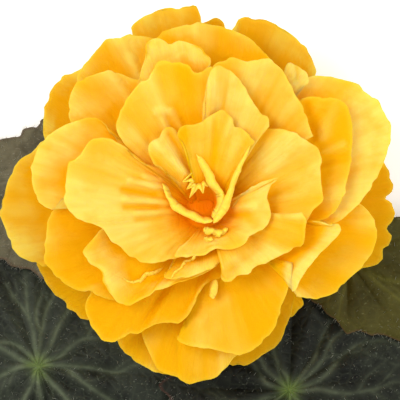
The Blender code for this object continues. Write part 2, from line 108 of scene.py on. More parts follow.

# Petals go from the heart outwards, each drawn by its margin as seen from above, counter-clockwise, in mm
# from the bloom's axis. The azimuth of the claw is in degrees, pale runs from deep gold to pale yellow, dull
# from fresh to faded and shaded, partly painted shade, cup and rim are slopes of the sides and of the margin,
# and roll is the radius in mm and the angle in degrees by which the margin turns up. Folds are ridges and
# hollows of a blade: where each starts and ends, its height and its half width in mm. Light is where the
# paler margin begins along the petal and by how much it is paler.
Petal = namedtuple("Petal", "azimuth pale dull margin cup rim roll folds light",
                   defaults=(0.1, 0.0, (0.35, 40), (), (0.5, 0.15)))
PETALS = [
    Petal(76, 0.4, 0, cup=0.55,
        folds=[(7.3, 18.2, 4.8, 9.3, 0.5, 1.2), (2, 22, 1.8, 13.1, -0.4, 1.4)],
        margin=[
            (5.6, 1.8), (6.1, 4.3), (6.8, 7.3), (8.3, 10.6), (9.8, 14.4), (10.9, 16.4), (11.9, 17.7), (10.6, 18.7),
            (9.6, 19.9), (8.3, 21), (6.8, 21.2), (6.3, 23), (5.3, 24.5), (3.5, 25.2), (2, 24.7), (0.5, 23.7),
            (-1.3, 22.5), (-3, 21.7), (-5.3, 21.5), (-6.8, 20.7), (-7.3, 18.9), (-5.8, 16.4), (-3.3, 14.4)]),
    Petal(-38, 0.95, 0, cup=0.30,
        folds=[(7.3, 1, 11.6, 1.5, 0.8, 1), (5.8, -0.5, 9.8, -0.3, -0.8, 1.4), (-0.5, -7.1, 4.3, -6.1, 0.5, 1.6),
               (10.9, -1.5, 12.4, -3.5, -0.4, 1.4)],
        margin=[
            (-6.8, -8.6), (-8.1, -11.1), (-5.6, -11.1), (-3, -10.9), (-0.5, -10.6), (1, -9.6), (3.3, -9.1),
            (5.6, -9.3), (7.6, -8.8), (9.3, -7.8), (10.6, -6.1), (12.4, -4.8), (13.9, -4.3), (15.2, -2.8),
            (15.7, -1), (15.9, 0.5), (15.4, 1.8), (14.9, 3.5), (15.2, 5), (15.9, 6.8), (17.2, 8.1), (18.2, 8.8),
            (16.4, 8.3), (13.9, 7.6), (11.4, 6.3), (9.3, 4.8), (7.3, 2.8), (6.1, 1)]),
    Petal(118, 0.7, 0, cup=0.35,
        folds=[(-12.1, 17.2, -4.5, 9.3, 0.9, 0.9), (-9.3, 19.2, -4, 12.4, -0.7, 0.9),
               (-13.6, 14.6, -7.3, 8.6, -0.5, 1)],
        margin=[
            (-3.8, 13.6), (-5.6, 16.2), (-6.8, 18.7), (-8.1, 20.7), (-9.8, 21.2), (-11.1, 19.9), (-12.6, 18.2),
            (-14.4, 16.9), (-14.6, 15.2), (-13.9, 13.1), (-11.9, 11.1), (-9.3, 9.1), (-6.8, 7.1)]),
    Petal(181, 0.75, 0.2, cup=0.14,
        folds=[(-19.2, 7.8, -10.4, 6.1, 1.2, 0.7), (-20.5, 3.4, -9.8, 2.3, 1.1, 0.7), (-17.4, -0.3, -8.3, 0.3, 1, 0.7),
               (-21, 5.6, -13.4, 4.4, -1, 0.9), (-20.5, 1.3, -12.6, 1.2, -0.9, 0.8),
               (-17.4, -2, -11.9, -1.4, -0.7, 0.9), (-15.7, 9.1, -11.6, 8.1, 0.7, 0.6),
               (-27, 13.1, -19.9, 9.1, 0.4, 1.6), (-18.9, 14.6, -5.5, 4.3, -0.6, 1.4)],
        margin=[
            (-7.8, 10.4), (-11.1, 10.9), (-14.1, 11.6), (-16.9, 12.6), (-19.2, 15.2), (-20.7, 16.4), (-22.5, 17.4),
            (-24.5, 18.2), (-27, 18.4), (-28.8, 17.7), (-30, 16.4), (-31.1, 14.4), (-32.6, 13.1), (-34.1, 12.4),
            (-34.6, 10.1), (-34.8, 8.1), (-35.1, 5.6), (-35.4, 3), (-34.8, 1.5), (-34.1, 0.3), (-32.6, -1),
            (-31.6, -2), (-29.5, -2.5), (-27.3, -3.3), (-26, -4), (-25, -5), (-24.5, -6.6), (-23, -7.6),
            (-21.5, -8.6), (-20.2, -10.1), (-18.7, -11.1), (-16.9, -12.1), (-14.9, -12.6), (-12.9, -12.6),
            (-10.9, -12.1), (-9.3, -11.9), (-8.1, -11.4), (-6.1, -10.4), (-3, -8.6), (-0.5, -6.1)]),
    Petal(80, 0.9, 0.1, cup=0.12,
        folds=[(0.8, 30.8, 1, 22.7, 0.8, 1.6), (4, 32.3, 3, 22, -0.5, 1.6), (7.3, 29.5, 5.3, 20.7, 0.4, 1.6)],
        margin=[
            (15.4, 21.2), (15.2, 23.2), (13.9, 24.2), (12.6, 25.5), (11.4, 27.3), (10.4, 29), (9.3, 30.8),
            (8.3, 32.6), (7.1, 33.8), (5.6, 35.1), (3.8, 35.9), (2.3, 36.1), (0.8, 34.8), (0, 32.3), (-0.5, 29.3),
            (-1, 25.8)]),
    Petal(116, 0.5, 0.15, cup=0.22,
        folds=[(-12.6, 25.2, -9.1, 25.2, 0.7, 0.9), (-11.9, 24.7, -8.8, 18.2, 0.8, 0.9),
               (-9.1, 25.2, -6.1, 20.5, 0.7, 0.9), (-10.4, 24, -7.6, 18.4, -0.6, 0.8),
               (-7.8, 26.3, -5.3, 21.5, -0.8, 1.5), (-12.6, 16.7, -11.9, 13.1, 0.9, 2.2),
               (-16.9, 23.2, -14.4, 18.2, -0.4, 2)],
        margin=[
            (1.5, 33.8), (1.5, 35.9), (0, 35.6), (-1.8, 34.6), (-3.5, 34.8), (-4.5, 36.4), (-6.1, 36.9),
            (-8.1, 37.1), (-9.8, 37.4), (-11.9, 37.4), (-12.9, 36.1), (-13.6, 34.6), (-14.4, 33.3), (-16.2, 32.3),
            (-17.4, 31.3), (-19.2, 29), (-20.7, 26.8), (-21.7, 24.2), (-22.5, 21.7), (-22, 19.2), (-20.2, 16.7),
            (-18.2, 14.4), (-14.9, 11.9)]),
    Petal(-28, 0.65, 0.05, cup=0.22, margin=[
            (3.8, -14.1), (3.5, -16.2), (4.3, -17.4), (5.6, -17.2), (6.8, -16.4), (8.3, -15.7), (10.6, -15.4),
            (11.4, -13.9), (12.6, -13.6), (14.6, -12.6), (17.2, -11.4), (19.7, -10.1), (22.2, -8.8), (23.7, -8.3),
            (24.2, -6.6), (24.5, -4.5), (24.5, -2), (23.5, 0)]),
    Petal(16, 0.75, 0.05, cup=0.22,
        folds=[(19.7, 15.7, 13.9, 8.1, 0.4, 1.8), (23.5, 9.3, 15.4, 4.3, -0.5, 2)],
        margin=[
            (24.2, -5), (24.7, -2.5), (25.5, -1), (26.3, 0.5), (27.5, 1.5), (28.5, 2.5), (29, 4.3), (28.5, 6.8),
            (28.3, 9.3), (28.3, 11.9), (28.3, 14.4), (27.3, 16.2), (25.5, 17.2), (23.5, 18.7), (21, 19.9),
            (18.4, 20.7), (15.9, 20.7), (13.9, 20.7), (11.9, 19.7)]),
    Petal(240, 0.5, 0, cup=0.25, light=(0.75, 0.35), margin=[
            (-8.6, -10.6), (-8.6, -11.9), (-9.1, -13.6), (-10.9, -15.9), (-8.8, -16.7), (-5.6, -16.4),
            (-1.8, -15.2), (1.5, -13.6), (4.5, -11.6), (6.3, -9.6), (7.3, -8.1)]),
    Petal(58, 0.65, 0.35, cup=0.2, margin=[
            (26.3, 18.9), (25.5, 21.2), (24.7, 23.7), (24, 25.8), (23.2, 27.3), (22, 29), (21.2, 30.8),
            (20.5, 32.3), (19.4, 34.3), (18.2, 35.9), (16.7, 37.1), (15.7, 38.1), (14.4, 38.1), (12.4, 37.9),
            (10.1, 37.4), (8.3, 37.9), (6.6, 38.4), (4.8, 37.9), (3.3, 37.4), (1.8, 36.6), (0.8, 34.6)]),
    Petal(223, -0.15, 0.15, cup=0.30, rim=0.5, roll=(0.7, 60), light=(0.7, 0.9),
        folds=[(-27.3, -12.4, -19.2, -15.2, -0.7, 1.8), (-16.9, -17.7, -9.8, -18.2, 0.5, 1.2)],
        margin=[
            (-25.8, -3.5), (-27.5, -5.6), (-29, -7.3), (-30.3, -8.8), (-30.6, -10.4), (-29.8, -11.9), (-29, -12.9),
            (-27.5, -13.6), (-26.5, -14.4), (-26, -15.9), (-25.5, -17.7), (-24.7, -19.4), (-23.7, -20.7),
            (-22.7, -22), (-21.7, -23), (-20.2, -23.2), (-18.7, -23), (-16.9, -22), (-14.9, -21), (-12.9, -19.7),
            (-10.4, -18.9), (-7.8, -17.7), (-5.3, -16.9), (-2.8, -16.2), (0, -14.9), (2.3, -13.4), (3.8, -11.6)]),
    Petal(168, 0.75, 0.2, cup=0.16,
        folds=[(-39.6, 7.1, -34.6, 7.1, -0.6, 1.6), (-37.1, 15.7, -29.5, 11.9, 0.5, 1.6)],
        margin=[
            (-21, 15.7), (-22.5, 18.2), (-24, 19.9), (-25, 21.5), (-26.3, 22.7), (-27.8, 23.5), (-29.5, 23.5),
            (-31.6, 23), (-34.1, 22.2), (-37.1, 20.7), (-39.6, 18.9), (-41.7, 16.4), (-42.9, 13.9), (-43.7, 11.1),
            (-43.7, 8.1), (-43.2, 5.6), (-42.2, 3.3), (-40.7, 1.5), (-39.1, 0.8), (-38.1, 0.8), (-37.1, 2),
            (-35.6, 3.3), (-33.1, 0.5)]),
    Petal(102, 0.7, 0.1, cup=0.15, roll=(1.0, 60), light=(0.8, 0.6), margin=[
            (1.3, 33.3), (-0.5, 35.1), (0.8, 36.6), (0.8, 38.1), (-0.3, 39.6), (-1.8, 40.9), (-3.8, 41.9),
            (-6.1, 42.7), (-8.1, 42.4), (-9.8, 41.9), (-10.6, 42.7), (-12.4, 43.4), (-14.4, 42.7), (-15.2, 40.9),
            (-15.4, 38.4), (-16.4, 35.4), (-16.9, 32.8)]),
    Petal(-27, 0.3, 0, cup=0.35, rim=0.6, light=(0.86, 0.9), margin=[
            (21.2, -12.6), (21, -15.9), (21, -18.9), (21.7, -19.9), (22.7, -18.2), (23.7, -16.2), (25.5, -13.6),
            (27.5, -11.1), (29.8, -8.8), (31.8, -6.8), (33.1, -5), (33.1, -3.5), (32.3, -2.8), (30.8, -3.3),
            (29, -2.5), (27.5, -2.5)]),
    Petal(204, 0.05, 0.45, cup=0.12, light=(0.85, 0.35), margin=[
            (-36.1, 3.5), (-38.1, 0.5), (-39.4, -1), (-39.9, -2.8), (-40.1, -5), (-40.4, -7.8), (-40.7, -10.9),
            (-40.7, -12.6), (-39.1, -14.4), (-37.1, -16.7), (-35.1, -18.2), (-33.1, -19.4), (-31.3, -19.7),
            (-29.5, -19.7), (-27.5, -20.7), (-25.5, -21.5), (-23.2, -22), (-20.5, -21.7), (-17.9, -19.7)]),
    Petal(18, 0.2, 0.1, cup=0.15,
        folds=[(34.3, 17.2, 28.5, 14.6, 1, 0.8), (35.1, 13.6, 28.5, 12.4, -0.8, 1.2),
               (24.5, 27.3, 26.3, 18.9, -0.7, 1.2), (31.6, 27, 28.8, 18.9, 0.7, 1.4)],
        margin=[
            (24.5, -5.8), (25, -4.8), (26.8, -3.5), (28.5, -2), (31.6, -0.3), (34.1, 4), (35.1, 8.1), (35.9, 11.4),
            (36.1, 13.9), (36.4, 16.9), (36.4, 19.9), (36.1, 22.7), (35.6, 25.2), (34.3, 27.3), (32.3, 28.3),
            (29.8, 28.5), (27.5, 28.8), (25.5, 28.8), (23.5, 28.3)]),
    Petal(236, -0.3, 0.5, cup=0.15, light=(0.88, 0.35),
        folds=[(-24.5, -27.3, -16.9, -22.2, 0.5, 1.6), (-17.3, -29.8, -11, -19.7, -0.9, 1),
               (-14.1, -27.8, -8.6, -19.7, 0.6, 1.2), (-6, -27, 1.2, -15.7, 0.8, 1.1)],
        margin=[
            (-28.3, -18.2), (-30, -21.7), (-30.6, -23.5), (-30.3, -25.5), (-29.5, -27.3), (-28.5, -29.3),
            (-27.3, -30.8), (-26.3, -32.1), (-24.7, -32.6), (-23.2, -32.6), (-22, -31.8), (-20.5, -31.1),
            (-19.4, -30.3), (-17.9, -30.6), (-16.4, -30), (-14.6, -29), (-13.1, -28.3), (-11.4, -27.8),
            (-9.6, -27.8), (-7.8, -27.8), (-6.6, -27.5), (-5.3, -26.5), (-4.3, -25.2), (-3.5, -23.5), (-2.5, -21.7),
            (-1.8, -19.7), (-0.5, -18.2), (0.8, -17.4), (2.5, -16.9), (3.8, -15.9), (4.5, -14.1)]),
    Petal(137, 0.65, 0.3, cup=0.15,
        folds=[(-23.7, 34.8, -19.4, 28.8, 0.6, 1.2), (-29.5, 32.1, -25.8, 25.8, 0.4, 1.6)],
        margin=[
            (-14.4, 32.8), (-18.4, 33.3), (-21, 34.3), (-24, 35.4), (-26.3, 35.1), (-28.8, 34.3), (-31.3, 33.3),
            (-33.1, 31.8), (-34.1, 29.8), (-34.6, 27.3), (-34.6, 24.7), (-34.1, 22.2), (-32.6, 18.7)]),
    Petal(290, 0.2, 0.3, cup=0.12,
        folds=[(-1.8, -27.3, 4.5, -22.2, 0.5, 1.6), (12.1, -31.1, 9.6, -22.2, -0.5, 1.6)],
        margin=[
            (5.3, -16.2), (4.8, -17.9), (2.8, -19.9), (0.3, -22), (-1, -24), (-2.3, -26.3), (-4.8, -28.8),
            (-6.6, -30.3), (-7.6, -31.6), (-6.8, -32.6), (-4.3, -33.6), (-0.5, -34.1), (2.8, -34.8), (5.8, -35.6),
            (7.8, -35.9), (10.9, -35.1), (13.4, -33.1), (15.4, -31.1), (17.2, -28.8), (17.9, -26.3), (18.7, -23.7),
            (19.7, -21.2), (20.5, -18.7), (21.2, -15.7), (21.7, -13.1), (22.2, -11.1), (23, -8.8)]),
    Petal(57, 0.95, 0.05, cup=0.5,
        folds=[(20.5, 37.1, 22, 31.6, 0.9, 0.8), (25, 33.3, 21.7, 31.1, 0.9, 0.8), (22.7, 36.1, 22.5, 33.1, -0.8, 0.8)],
        margin=[
            (22.5, 28.8), (23.5, 31.3), (25, 31.8), (25.5, 33.1), (25, 34.6), (23.7, 36.1), (22.2, 36.9),
            (20.7, 37.6), (19.7, 36.4), (19.2, 34.6), (18.9, 32.3)]),
    Petal(26, 0.9, 0.1, cup=0.12,
        folds=[(37.4, 25.8, 32.3, 15.7, 0.4, 2.2), (41.7, 18.2, 34.8, 9.3, -0.4, 2)],
        margin=[
            (27.5, -6.1), (28.5, -2.5), (30, -3), (31.8, -2.8), (33.6, -2), (35.6, -0.3), (37.9, 1.8), (39.4, 3.8),
            (41.2, 6.1), (42.2, 8.1), (43.4, 10.1), (44.4, 12.4), (44.9, 13.9), (45.5, 15.7), (46, 17.7),
            (46.2, 19.9), (46.2, 22), (45.5, 23.5), (44.2, 25.2), (43.7, 26.8), (42.9, 28.3), (41.4, 28.8),
            (40.1, 30), (38.4, 31.6), (37.1, 32.6), (34.8, 33.1), (32.3, 33.8), (29.8, 34.1), (27.5, 34.3),
            (25.5, 33.8), (23.5, 32.8)]),
    Petal(82, 0.35, 0.45, cup=0.15,
        folds=[(-1.8, 46, -1, 39.6, 0.4, 1.8), (7.3, 42.2, 6.3, 37.1, -0.5, 1.6)],
        margin=[
            (19.4, 33.8), (17.4, 36.9), (15.4, 39.1), (13.9, 40.9), (12.4, 42.2), (10.4, 43.9), (8.3, 44.9),
            (5.8, 46), (3.3, 46.7), (0.8, 47.2), (-1.8, 47.7), (-4.3, 47.2), (-6.8, 46.7), (-9.3, 46),
            (-11.4, 44.9), (-13.1, 43.4), (-14.4, 40.9)]),
    Petal(181, 0.55, 0.75, cup=0.08,
        folds=[(-47.2, 5.6, -39.6, 4.3, 0.4, 2), (-47.7, -3.3, -40.1, -2.5, -0.4, 2)],
        margin=[
            (-39.1, 19.7), (-41.2, 17.9), (-42.2, 17.2), (-43.2, 15.9), (-44.7, 14.6), (-47.2, 13.1), (-48.5, 11.1),
            (-49.5, 9.1), (-50.2, 7.6), (-50.8, 5.6), (-51.3, 3.5), (-51.8, 1.8), (-52.3, -0.3), (-51.8, -1.8),
            (-51, -3.8), (-50.2, -5.8), (-49.5, -7.6), (-48.5, -9.6), (-47.2, -11.1), (-45.2, -12.1),
            (-42.9, -12.9), (-40.7, -13.6), (-38.1, -12.6)]),
    Petal(124, 0.55, 0.5, cup=0.1,
        folds=[(-19.2, 38.9, -16.9, 32.3, 0.7, 1.1), (-14.9, 34.3, -14.1, 33.1, 0.9, 1.3),
               (-22.5, 40.9, -19.9, 35.9, -0.4, 1.6)],
        margin=[
            (-8.8, 40.4), (-12.4, 43.4), (-15.2, 44.2), (-16.9, 44.4), (-18.4, 44.4), (-19.4, 44.9), (-20.5, 44.4),
            (-22, 43.9), (-23.2, 43.9), (-25, 43.7), (-26, 43.2), (-27, 41.9), (-28.3, 40.4), (-29.5, 38.9),
            (-31.1, 36.9), (-32.6, 34.3), (-32.6, 31.3)]),
    Petal(-17, 0.4, 0, cup=0.12, margin=[
            (22.5, -21.2), (24.5, -21.5), (26.5, -22), (28.5, -21.7), (31.1, -21), (33.1, -19.7), (34.8, -17.9),
            (36.6, -16.2), (38.6, -14.4), (40.1, -12.6), (41.2, -11.1), (42.2, -9.1), (42.9, -6.6), (42.9, -4.5),
            (42.4, -2.5), (41.4, -0.8), (40.1, 0.8), (38.6, 1.8), (36.1, 1.5), (33.6, 0)]),
    Petal(271, 0.25, 0.4, cup=0.08,
        folds=[(-7.8, -42, -7.3, -34, -1.1, 0.8), (-3.5, -42, -2.8, -34.6, 0.9, 2.2)],
        margin=[
            (-16.9, -27.8), (-16.4, -30), (-16.2, -31.8), (-15.2, -34.1), (-14.1, -36.6), (-13.1, -38.6),
            (-11.9, -40.1), (-9.3, -41.2), (-6.8, -42.2), (-5.8, -42.7), (-5.3, -43.4), (-4.5, -43.7), (-3, -43.2),
            (-1, -42.7), (1.3, -42.2), (2.8, -41.4), (4, -40.1), (5.3, -38.9), (6.3, -37.4), (7.6, -35.6),
            (8.3, -33.6)]),
    Petal(257, 0, 0.6, cup=0.08, margin=[
            (-25, -29.8), (-22.7, -32.3), (-22, -34.1), (-20.2, -36.1), (-18.4, -37.6), (-16.2, -38.9),
            (-13.9, -40.1), (-11.9, -40.9), (-9.3, -41.2), (-6.3, -39.4)]),
    Petal(150, 0.5, 0.8, cup=0.08, margin=[
            (-27, 38.4), (-29.5, 39.1), (-29.8, 38.4), (-30.8, 37.4), (-32.1, 36.1), (-33.1, 35.6), (-34.6, 34.8),
            (-36.1, 34.6), (-36.9, 34.3), (-37.6, 33.1), (-38.9, 31.8), (-39.9, 30.3), (-40.1, 28.8), (-40.9, 27),
            (-41.4, 25.2), (-41.4, 23.2), (-41.4, 20.7), (-41.2, 18.2), (-39.6, 16.2)]),
    Petal(101, 0.55, 0.85, cup=0.05,
        folds=[(-10.6, 49.7, -9.8, 43.9, 0.4, 1.8)],
        margin=[
            (-0.3, 43.4), (-1.3, 47.5), (-1.5, 48.5), (-1.8, 50), (-2.3, 51.5), (-3, 52.5), (-4, 52.5), (-5.3, 52),
            (-7.3, 51.5), (-9.3, 51.8), (-11.6, 51.5), (-13.1, 51), (-14.9, 50), (-16.9, 49), (-18.7, 47.5),
            (-19.2, 46.5), (-18.9, 44.7), (-17.9, 42.4)]),
    Petal(64, 0.5, 1, cup=0.05,
        folds=[(18.4, 44.7, 15.4, 38.4, 0.4, 1.8)],
        margin=[
            (23.5, 30.3), (26.5, 32.3), (27.5, 34.3), (27.8, 35.6), (27.3, 37.1), (26.5, 39.4), (25.2, 41.4),
            (24, 42.7), (22.5, 44.2), (20.2, 46), (17.9, 47.2), (15.9, 48.5), (13.9, 49), (11.9, 49), (10.1, 49.5),
            (8.8, 49.2), (7.8, 48.5), (7.1, 47), (6.3, 46), (5.8, 43.9)]),
    Petal(216, -0.4, 1.1, cup=0.05, margin=[
            (-42.2, -7.1), (-43.2, -12.6), (-42.7, -14.6), (-41.9, -16.2), (-40.7, -18.2), (-39.4, -19.9),
            (-38.4, -21.2), (-36.6, -22.2), (-35.9, -23.2), (-35.6, -24.5), (-34.3, -25), (-33.3, -25.5),
            (-32.1, -27), (-30.6, -27.3), (-29.5, -27), (-28, -24.7)]),
    Petal(246, -0.4, 1.1, cup=0.05, light=(0.9, 0.2), margin=[
            (-31.1, -19.7), (-30.6, -23.5), (-29, -27.8), (-26.5, -31.3), (-22.7, -32.8), (-20.7, -34.8),
            (-16.9, -35.4)]),
    Petal(297, -0.4, 1.1, cup=0.05, margin=[
            (3.8, -36.9), (6.1, -38.9), (7.8, -38.9), (9.8, -39.1), (11.4, -38.4), (13.4, -37.1), (15.2, -35.6),
            (17.2, -34.6), (18.7, -32.8), (19.4, -31.1), (20.2, -29), (21, -27), (21.7, -24.2), (22.2, -21.7),
            (22, -18.7)]),
    Petal(-4, -0.3, 0.8, cup=0.05, margin=[
            (36.6, -15.7), (39.1, -14.4), (42.4, -13.6), (44.7, -12.4), (44.7, -10.9), (44.9, -9.1), (46, -8.8),
            (46.7, -7.8), (47, -6.3), (46.2, -4.8), (46, -3.8), (46.7, -3), (47.5, -1.8), (48, -0.3), (47.5, 1.3),
            (46.5, 2.5), (45.5, 3.3), (45.7, 4), (47, 5), (47.5, 6.6), (47, 8.1), (46.5, 9.8), (45.7, 11.6),
            (44.7, 13.1), (42.7, 15.7), (40.1, 16.7)]),
    Petal(86, -0.2, 0.9, cup=0.05, margin=[
            (6.3, 44.4), (4.8, 46.7), (4.3, 48.2), (3.5, 49.2), (2.5, 49.5), (1.3, 49.2), (0, 48.5), (-1.3, 48),
            (-2.8, 46)]),
    Petal(313, -0.2, 0.4, cup=0.05, margin=[
            (18.9, -25.2), (21.2, -26.8), (22.5, -26), (23.7, -24.7), (24.5, -23.2), (24.2, -21.7), (23.5, -19.7)]),
]

# The petals of each mesh, by their place in the list
HEART_PETALS = range(0, 4)
INNER_PETALS = range(4, 11)
MIDDLE_PETALS = range(11, 24)
OUTER_PETALS = range(24, 36)

# The petals at the heart have so much finer faces
HEART_DETAIL = 1.6

# Ridges are paler, for each mm of relief: painted highlight. Petals are deeper gold down among others, which
# is painted shade, within about this distance of the axis, and where they stand steep, painted shade again.
# Margins take this much of the rim's colour, partly their own paler colour and partly painted highlight.
RIDGE_HIGHLIGHT = 0.5
HOLLOW_SHADE = 0.45
HEART_GOLD = 0.4
HEART_RADIUS = 13 * MM
STEEP_SHADE = 0.9
RIM_TINT = 0.2

# Petals lie clear of the ones beneath them: the gap at the claw and at the margin, the faces over which a
# lift evens out, and the height map's cells
GAPS = (0.4 * MM, 1.1 * MM)
LIFT_SPREAD = 3
CELL = 1.0 * MM
CELLS = 130

# Narrow petaloids stand round the throat with thick edges: place, height and thickness along the rim, then
# place and height along the foot, in mm. Each rim also stands clear of the petals beneath it.
Ribbon = namedtuple("Ribbon", "rim foot")
RIBBONS = [
    Ribbon(rim=[(-11.2, 7.1, 47, 0.8), (-10.6, 5.4, 47, 1.1), (-10.1, 4, 46.6, 1), (-9.1, 2.8, 46.4, 1.4),
                (-8.6, 1.4, 46, 1.9), (-7.3, 0.6, 45.8, 2), (-5.9, -0.3, 45.6, 1.6), (-4, -1.1, 45.4, 1.8),
                (-2.5, -2, 45.2, 1.8), (-0.8, -2.5, 45.4, 1.2), (0.5, -2.5, 45.6, 1), (1.5, -2.3, 45.6, 0.8)],
           foot=[(-8.8, 6.6, 40), (-7.8, 3.5, 39.5), (-6.1, 1.8, 39), (-3.8, 0.5, 38.5), (-1.8, -0.3, 38.5),
                 (0.3, -0.5, 39)]),
    Ribbon(rim=[(-2.8, 14.4, 50, 0.8), (-1.3, 12.8, 50.5, 1.7), (-0.4, 11.2, 50, 1.9), (0.8, 9.3, 49.2, 2.2),
                (1.6, 7.4, 48.4, 2.1), (3, 5.8, 47.6, 1.6), (4, 4.3, 47, 1.6), (3.8, 2, 46.4, 1.6),
                (2.8, 0.3, 46, 1.4), (1.5, -1.5, 45.8, 1.2)],
           foot=[(-2, 13.6, 46), (-1, 10.6, 43), (0, 7.6, 41), (1.5, 4.5, 40), (2, 2, 39.5), (1, 0, 39.5)]),
    Ribbon(rim=[(10.6, 16.4, 53, 0.5), (9.2, 13.5, 52.4, 0.8), (7.9, 10.9, 51.4, 1.2), (6.7, 8.5, 50.2, 1.35),
                (6.2, 6.6, 49.2, 1.3), (5.4, 4.3, 48.2, 1.7), (4.8, 2.3, 47.4, 2.2), (3.9, 0.5, 46.8, 2.2),
                (2.8, -1.3, 46.4, 1.8), (1.5, -2.8, 46, 1.2)],
           foot=[(9.8, 15.2, 49), (8.3, 11.1, 45), (6.8, 6.6, 42.5), (5.3, 3, 41), (3.8, 0.5, 40),
                 (1.8, -1.5, 40)]),
    Ribbon(rim=[(-3.8, 9.8, 47.4, 0.6), (-6.2, 7.6, 46, 0.3), (-3.9, 7.7, 46.8, 1.1), (-5.2, 5.6, 45.6, 0.3),
                (-3.3, 6.5, 46.6, 1.2), (-4.4, 3.4, 45, 0.35), (-2.2, 6.4, 46.4, 1.2), (-0.9, 4.6, 45.6, 0.3),
                (-0.9, 7, 46.8, 1), (0.3, 6.4, 46, 0.3), (0.2, 9, 47.6, 0.6)],
           foot=[(-3.2, 9.4, 43), (-2.2, 8.2, 41), (-1.4, 8, 41), (-0.4, 9, 43)]),
    Ribbon(rim=[(-0.9, -4.2, 45.6, 0.9), (0.2, -5.2, 46.2, 1.7), (1.4, -5, 46.4, 1.3), (2.6, -5.6, 46, 1.9),
                (4.2, -5.2, 45.8, 1.2), (5.2, -4.2, 45.6, 0.7)],
           foot=[(-0.6, -3.6, 43), (1.2, -4, 43), (3, -4.4, 43), (4.8, -3.6, 43)]),
    Ribbon(rim=[(-0.9, -6.6, 45.4, 0.7), (0.3, -7.2, 45.8, 1.2), (1.3, -6.7, 45.8, 0.9)],
           foot=[(-0.6, -6, 43), (0.3, -6.4, 43), (1.2, -6, 43)]),
    Ribbon(rim=[(2.3, -16.9, 40, 0.8), (2.3, -18.7, 40.4, 1.7), (1.9, -20.2, 40.2, 1.8), (1.5, -21.7, 40, 0.9)],
           foot=[(1, -17.4, 38), (0.8, -19.2, 38), (0.5, -21.2, 38)]),
    Ribbon(rim=[(-21.2, -16.4, 40, 0.4), (-18.9, -17.4, 40, 0.7), (-16.7, -16.9, 40.5, 0.9), (-15.2, -15.2, 41, 1),
                (-13.4, -14.9, 41, 0.9), (-11.1, -13.9, 41, 0.5)],
           foot=[(-20.5, -17.4, 39), (-15.7, -17.9, 39), (-11.9, -15.7, 39)]),
    Ribbon(rim=[(-9.1, -16.4, 40, 0.4), (-7.8, -14.6, 40, 0.8), (-6.6, -13.9, 40, 0.6), (-5.8, -12.4, 40, 0.9),
                (-4.3, -11.9, 40, 0.7), (-2.8, -10.6, 40, 0.5)],
           foot=[(-7.8, -16.4, 38.5), (-5.3, -14.1, 38.5), (-2.8, -12.1, 38.5)]),
]
RIBBON_ROWS = 16
RIBBON_COLUMNS = 70

# Knobs along a petaloid's rim by length and height in mm, and its teeth by length, patch and height in mm
KNOBS = ((5.5, 0.12), (2.6, 0.05), (1.6, 0.03))
TEETH = (1.7, 6, 0.3)

# Orange cushion that fills the throat, and the outline of the receptacle by radius and height, in mm
CUSHION_ROUTE = [(0.0, 0.0, 34.0), (-0.6, 1.0, 37.6), (-1.0, 1.6, 39.6), (-1.0, 1.8, 40.2)]
CUSHION_RADII = [2.4, 5.4, 5.2, 2.4]
# How much of the dull tint the cushion takes: painted shade deep in the throat
CUSHION_SHADE = 0.8
RECEPTACLE_SIDES = 40
RECEPTACLE_PROFILE = [(0.0, -3.5), (2.6, -3.5), (5.2, -3.2), (6.2, -2.6), (8.0, -1.2), (8.4, 0.0), (7.0, 4.0),
                      (5.2, 7.0), (3.6, 9.0), (1.6, 10.0), (0.0, 10.4)]

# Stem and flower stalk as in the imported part, places and radii in mm. The stem is pressed flat: its middle lies
# this share of its radius above the surface.
STEM_ROUTE = [(10.0, -104.0), (8.0, -74.0), (4.0, -46.0), (1.0, -20.0), (0.0, 0.0), (-2.0, 16.0)]
STEM_RADII = [5.2, 5.0, 4.6, 4.2, 3.9, 2.6]
STEM_SINK = 0.9
STALK_ROUTE = [(0.8, -15.0, 4.0), (0.6, -10.0, 8.6), (0.2, -4.0, 13.4), (0.0, -0.5, 16.8), (0.0, 0.0, 18.4),
               (0.0, 0.0, 19.2)]
STALK_RADII = [2.7, 2.0, 1.8, 1.9, 2.1, 2.2]

# Leaf stubs on the stem, the gap between a stub and its leaf's stalk, and the stalks, which end this far
# below the leaf's hub
STUB_LENGTH = 7.0 * MM
STUB_RADII = [2.9, 2.2]
GAP = 0.3 * MM
PETIOLE_RADIUS = 1.9 * MM
PETIOLE_DROP = 1.5 * MM

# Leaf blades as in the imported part. They puff up between their veins, by a height in mm. Their margins have
# teeth, each with a random part, and dip in between two veins, most of all at the sinus, which is also lifted
# towards the hub, by shares of the reach.
BLADE_THICKNESS = 0.9 * MM
BLADE_PUFF = 1.3
TOOTH_DEPTH = 0.022
TOOTH_CHANCE = 0.006
VEIN_DIP = 0.10
SINUS_DIP = 0.70
SINUS_LIFT = 0.8

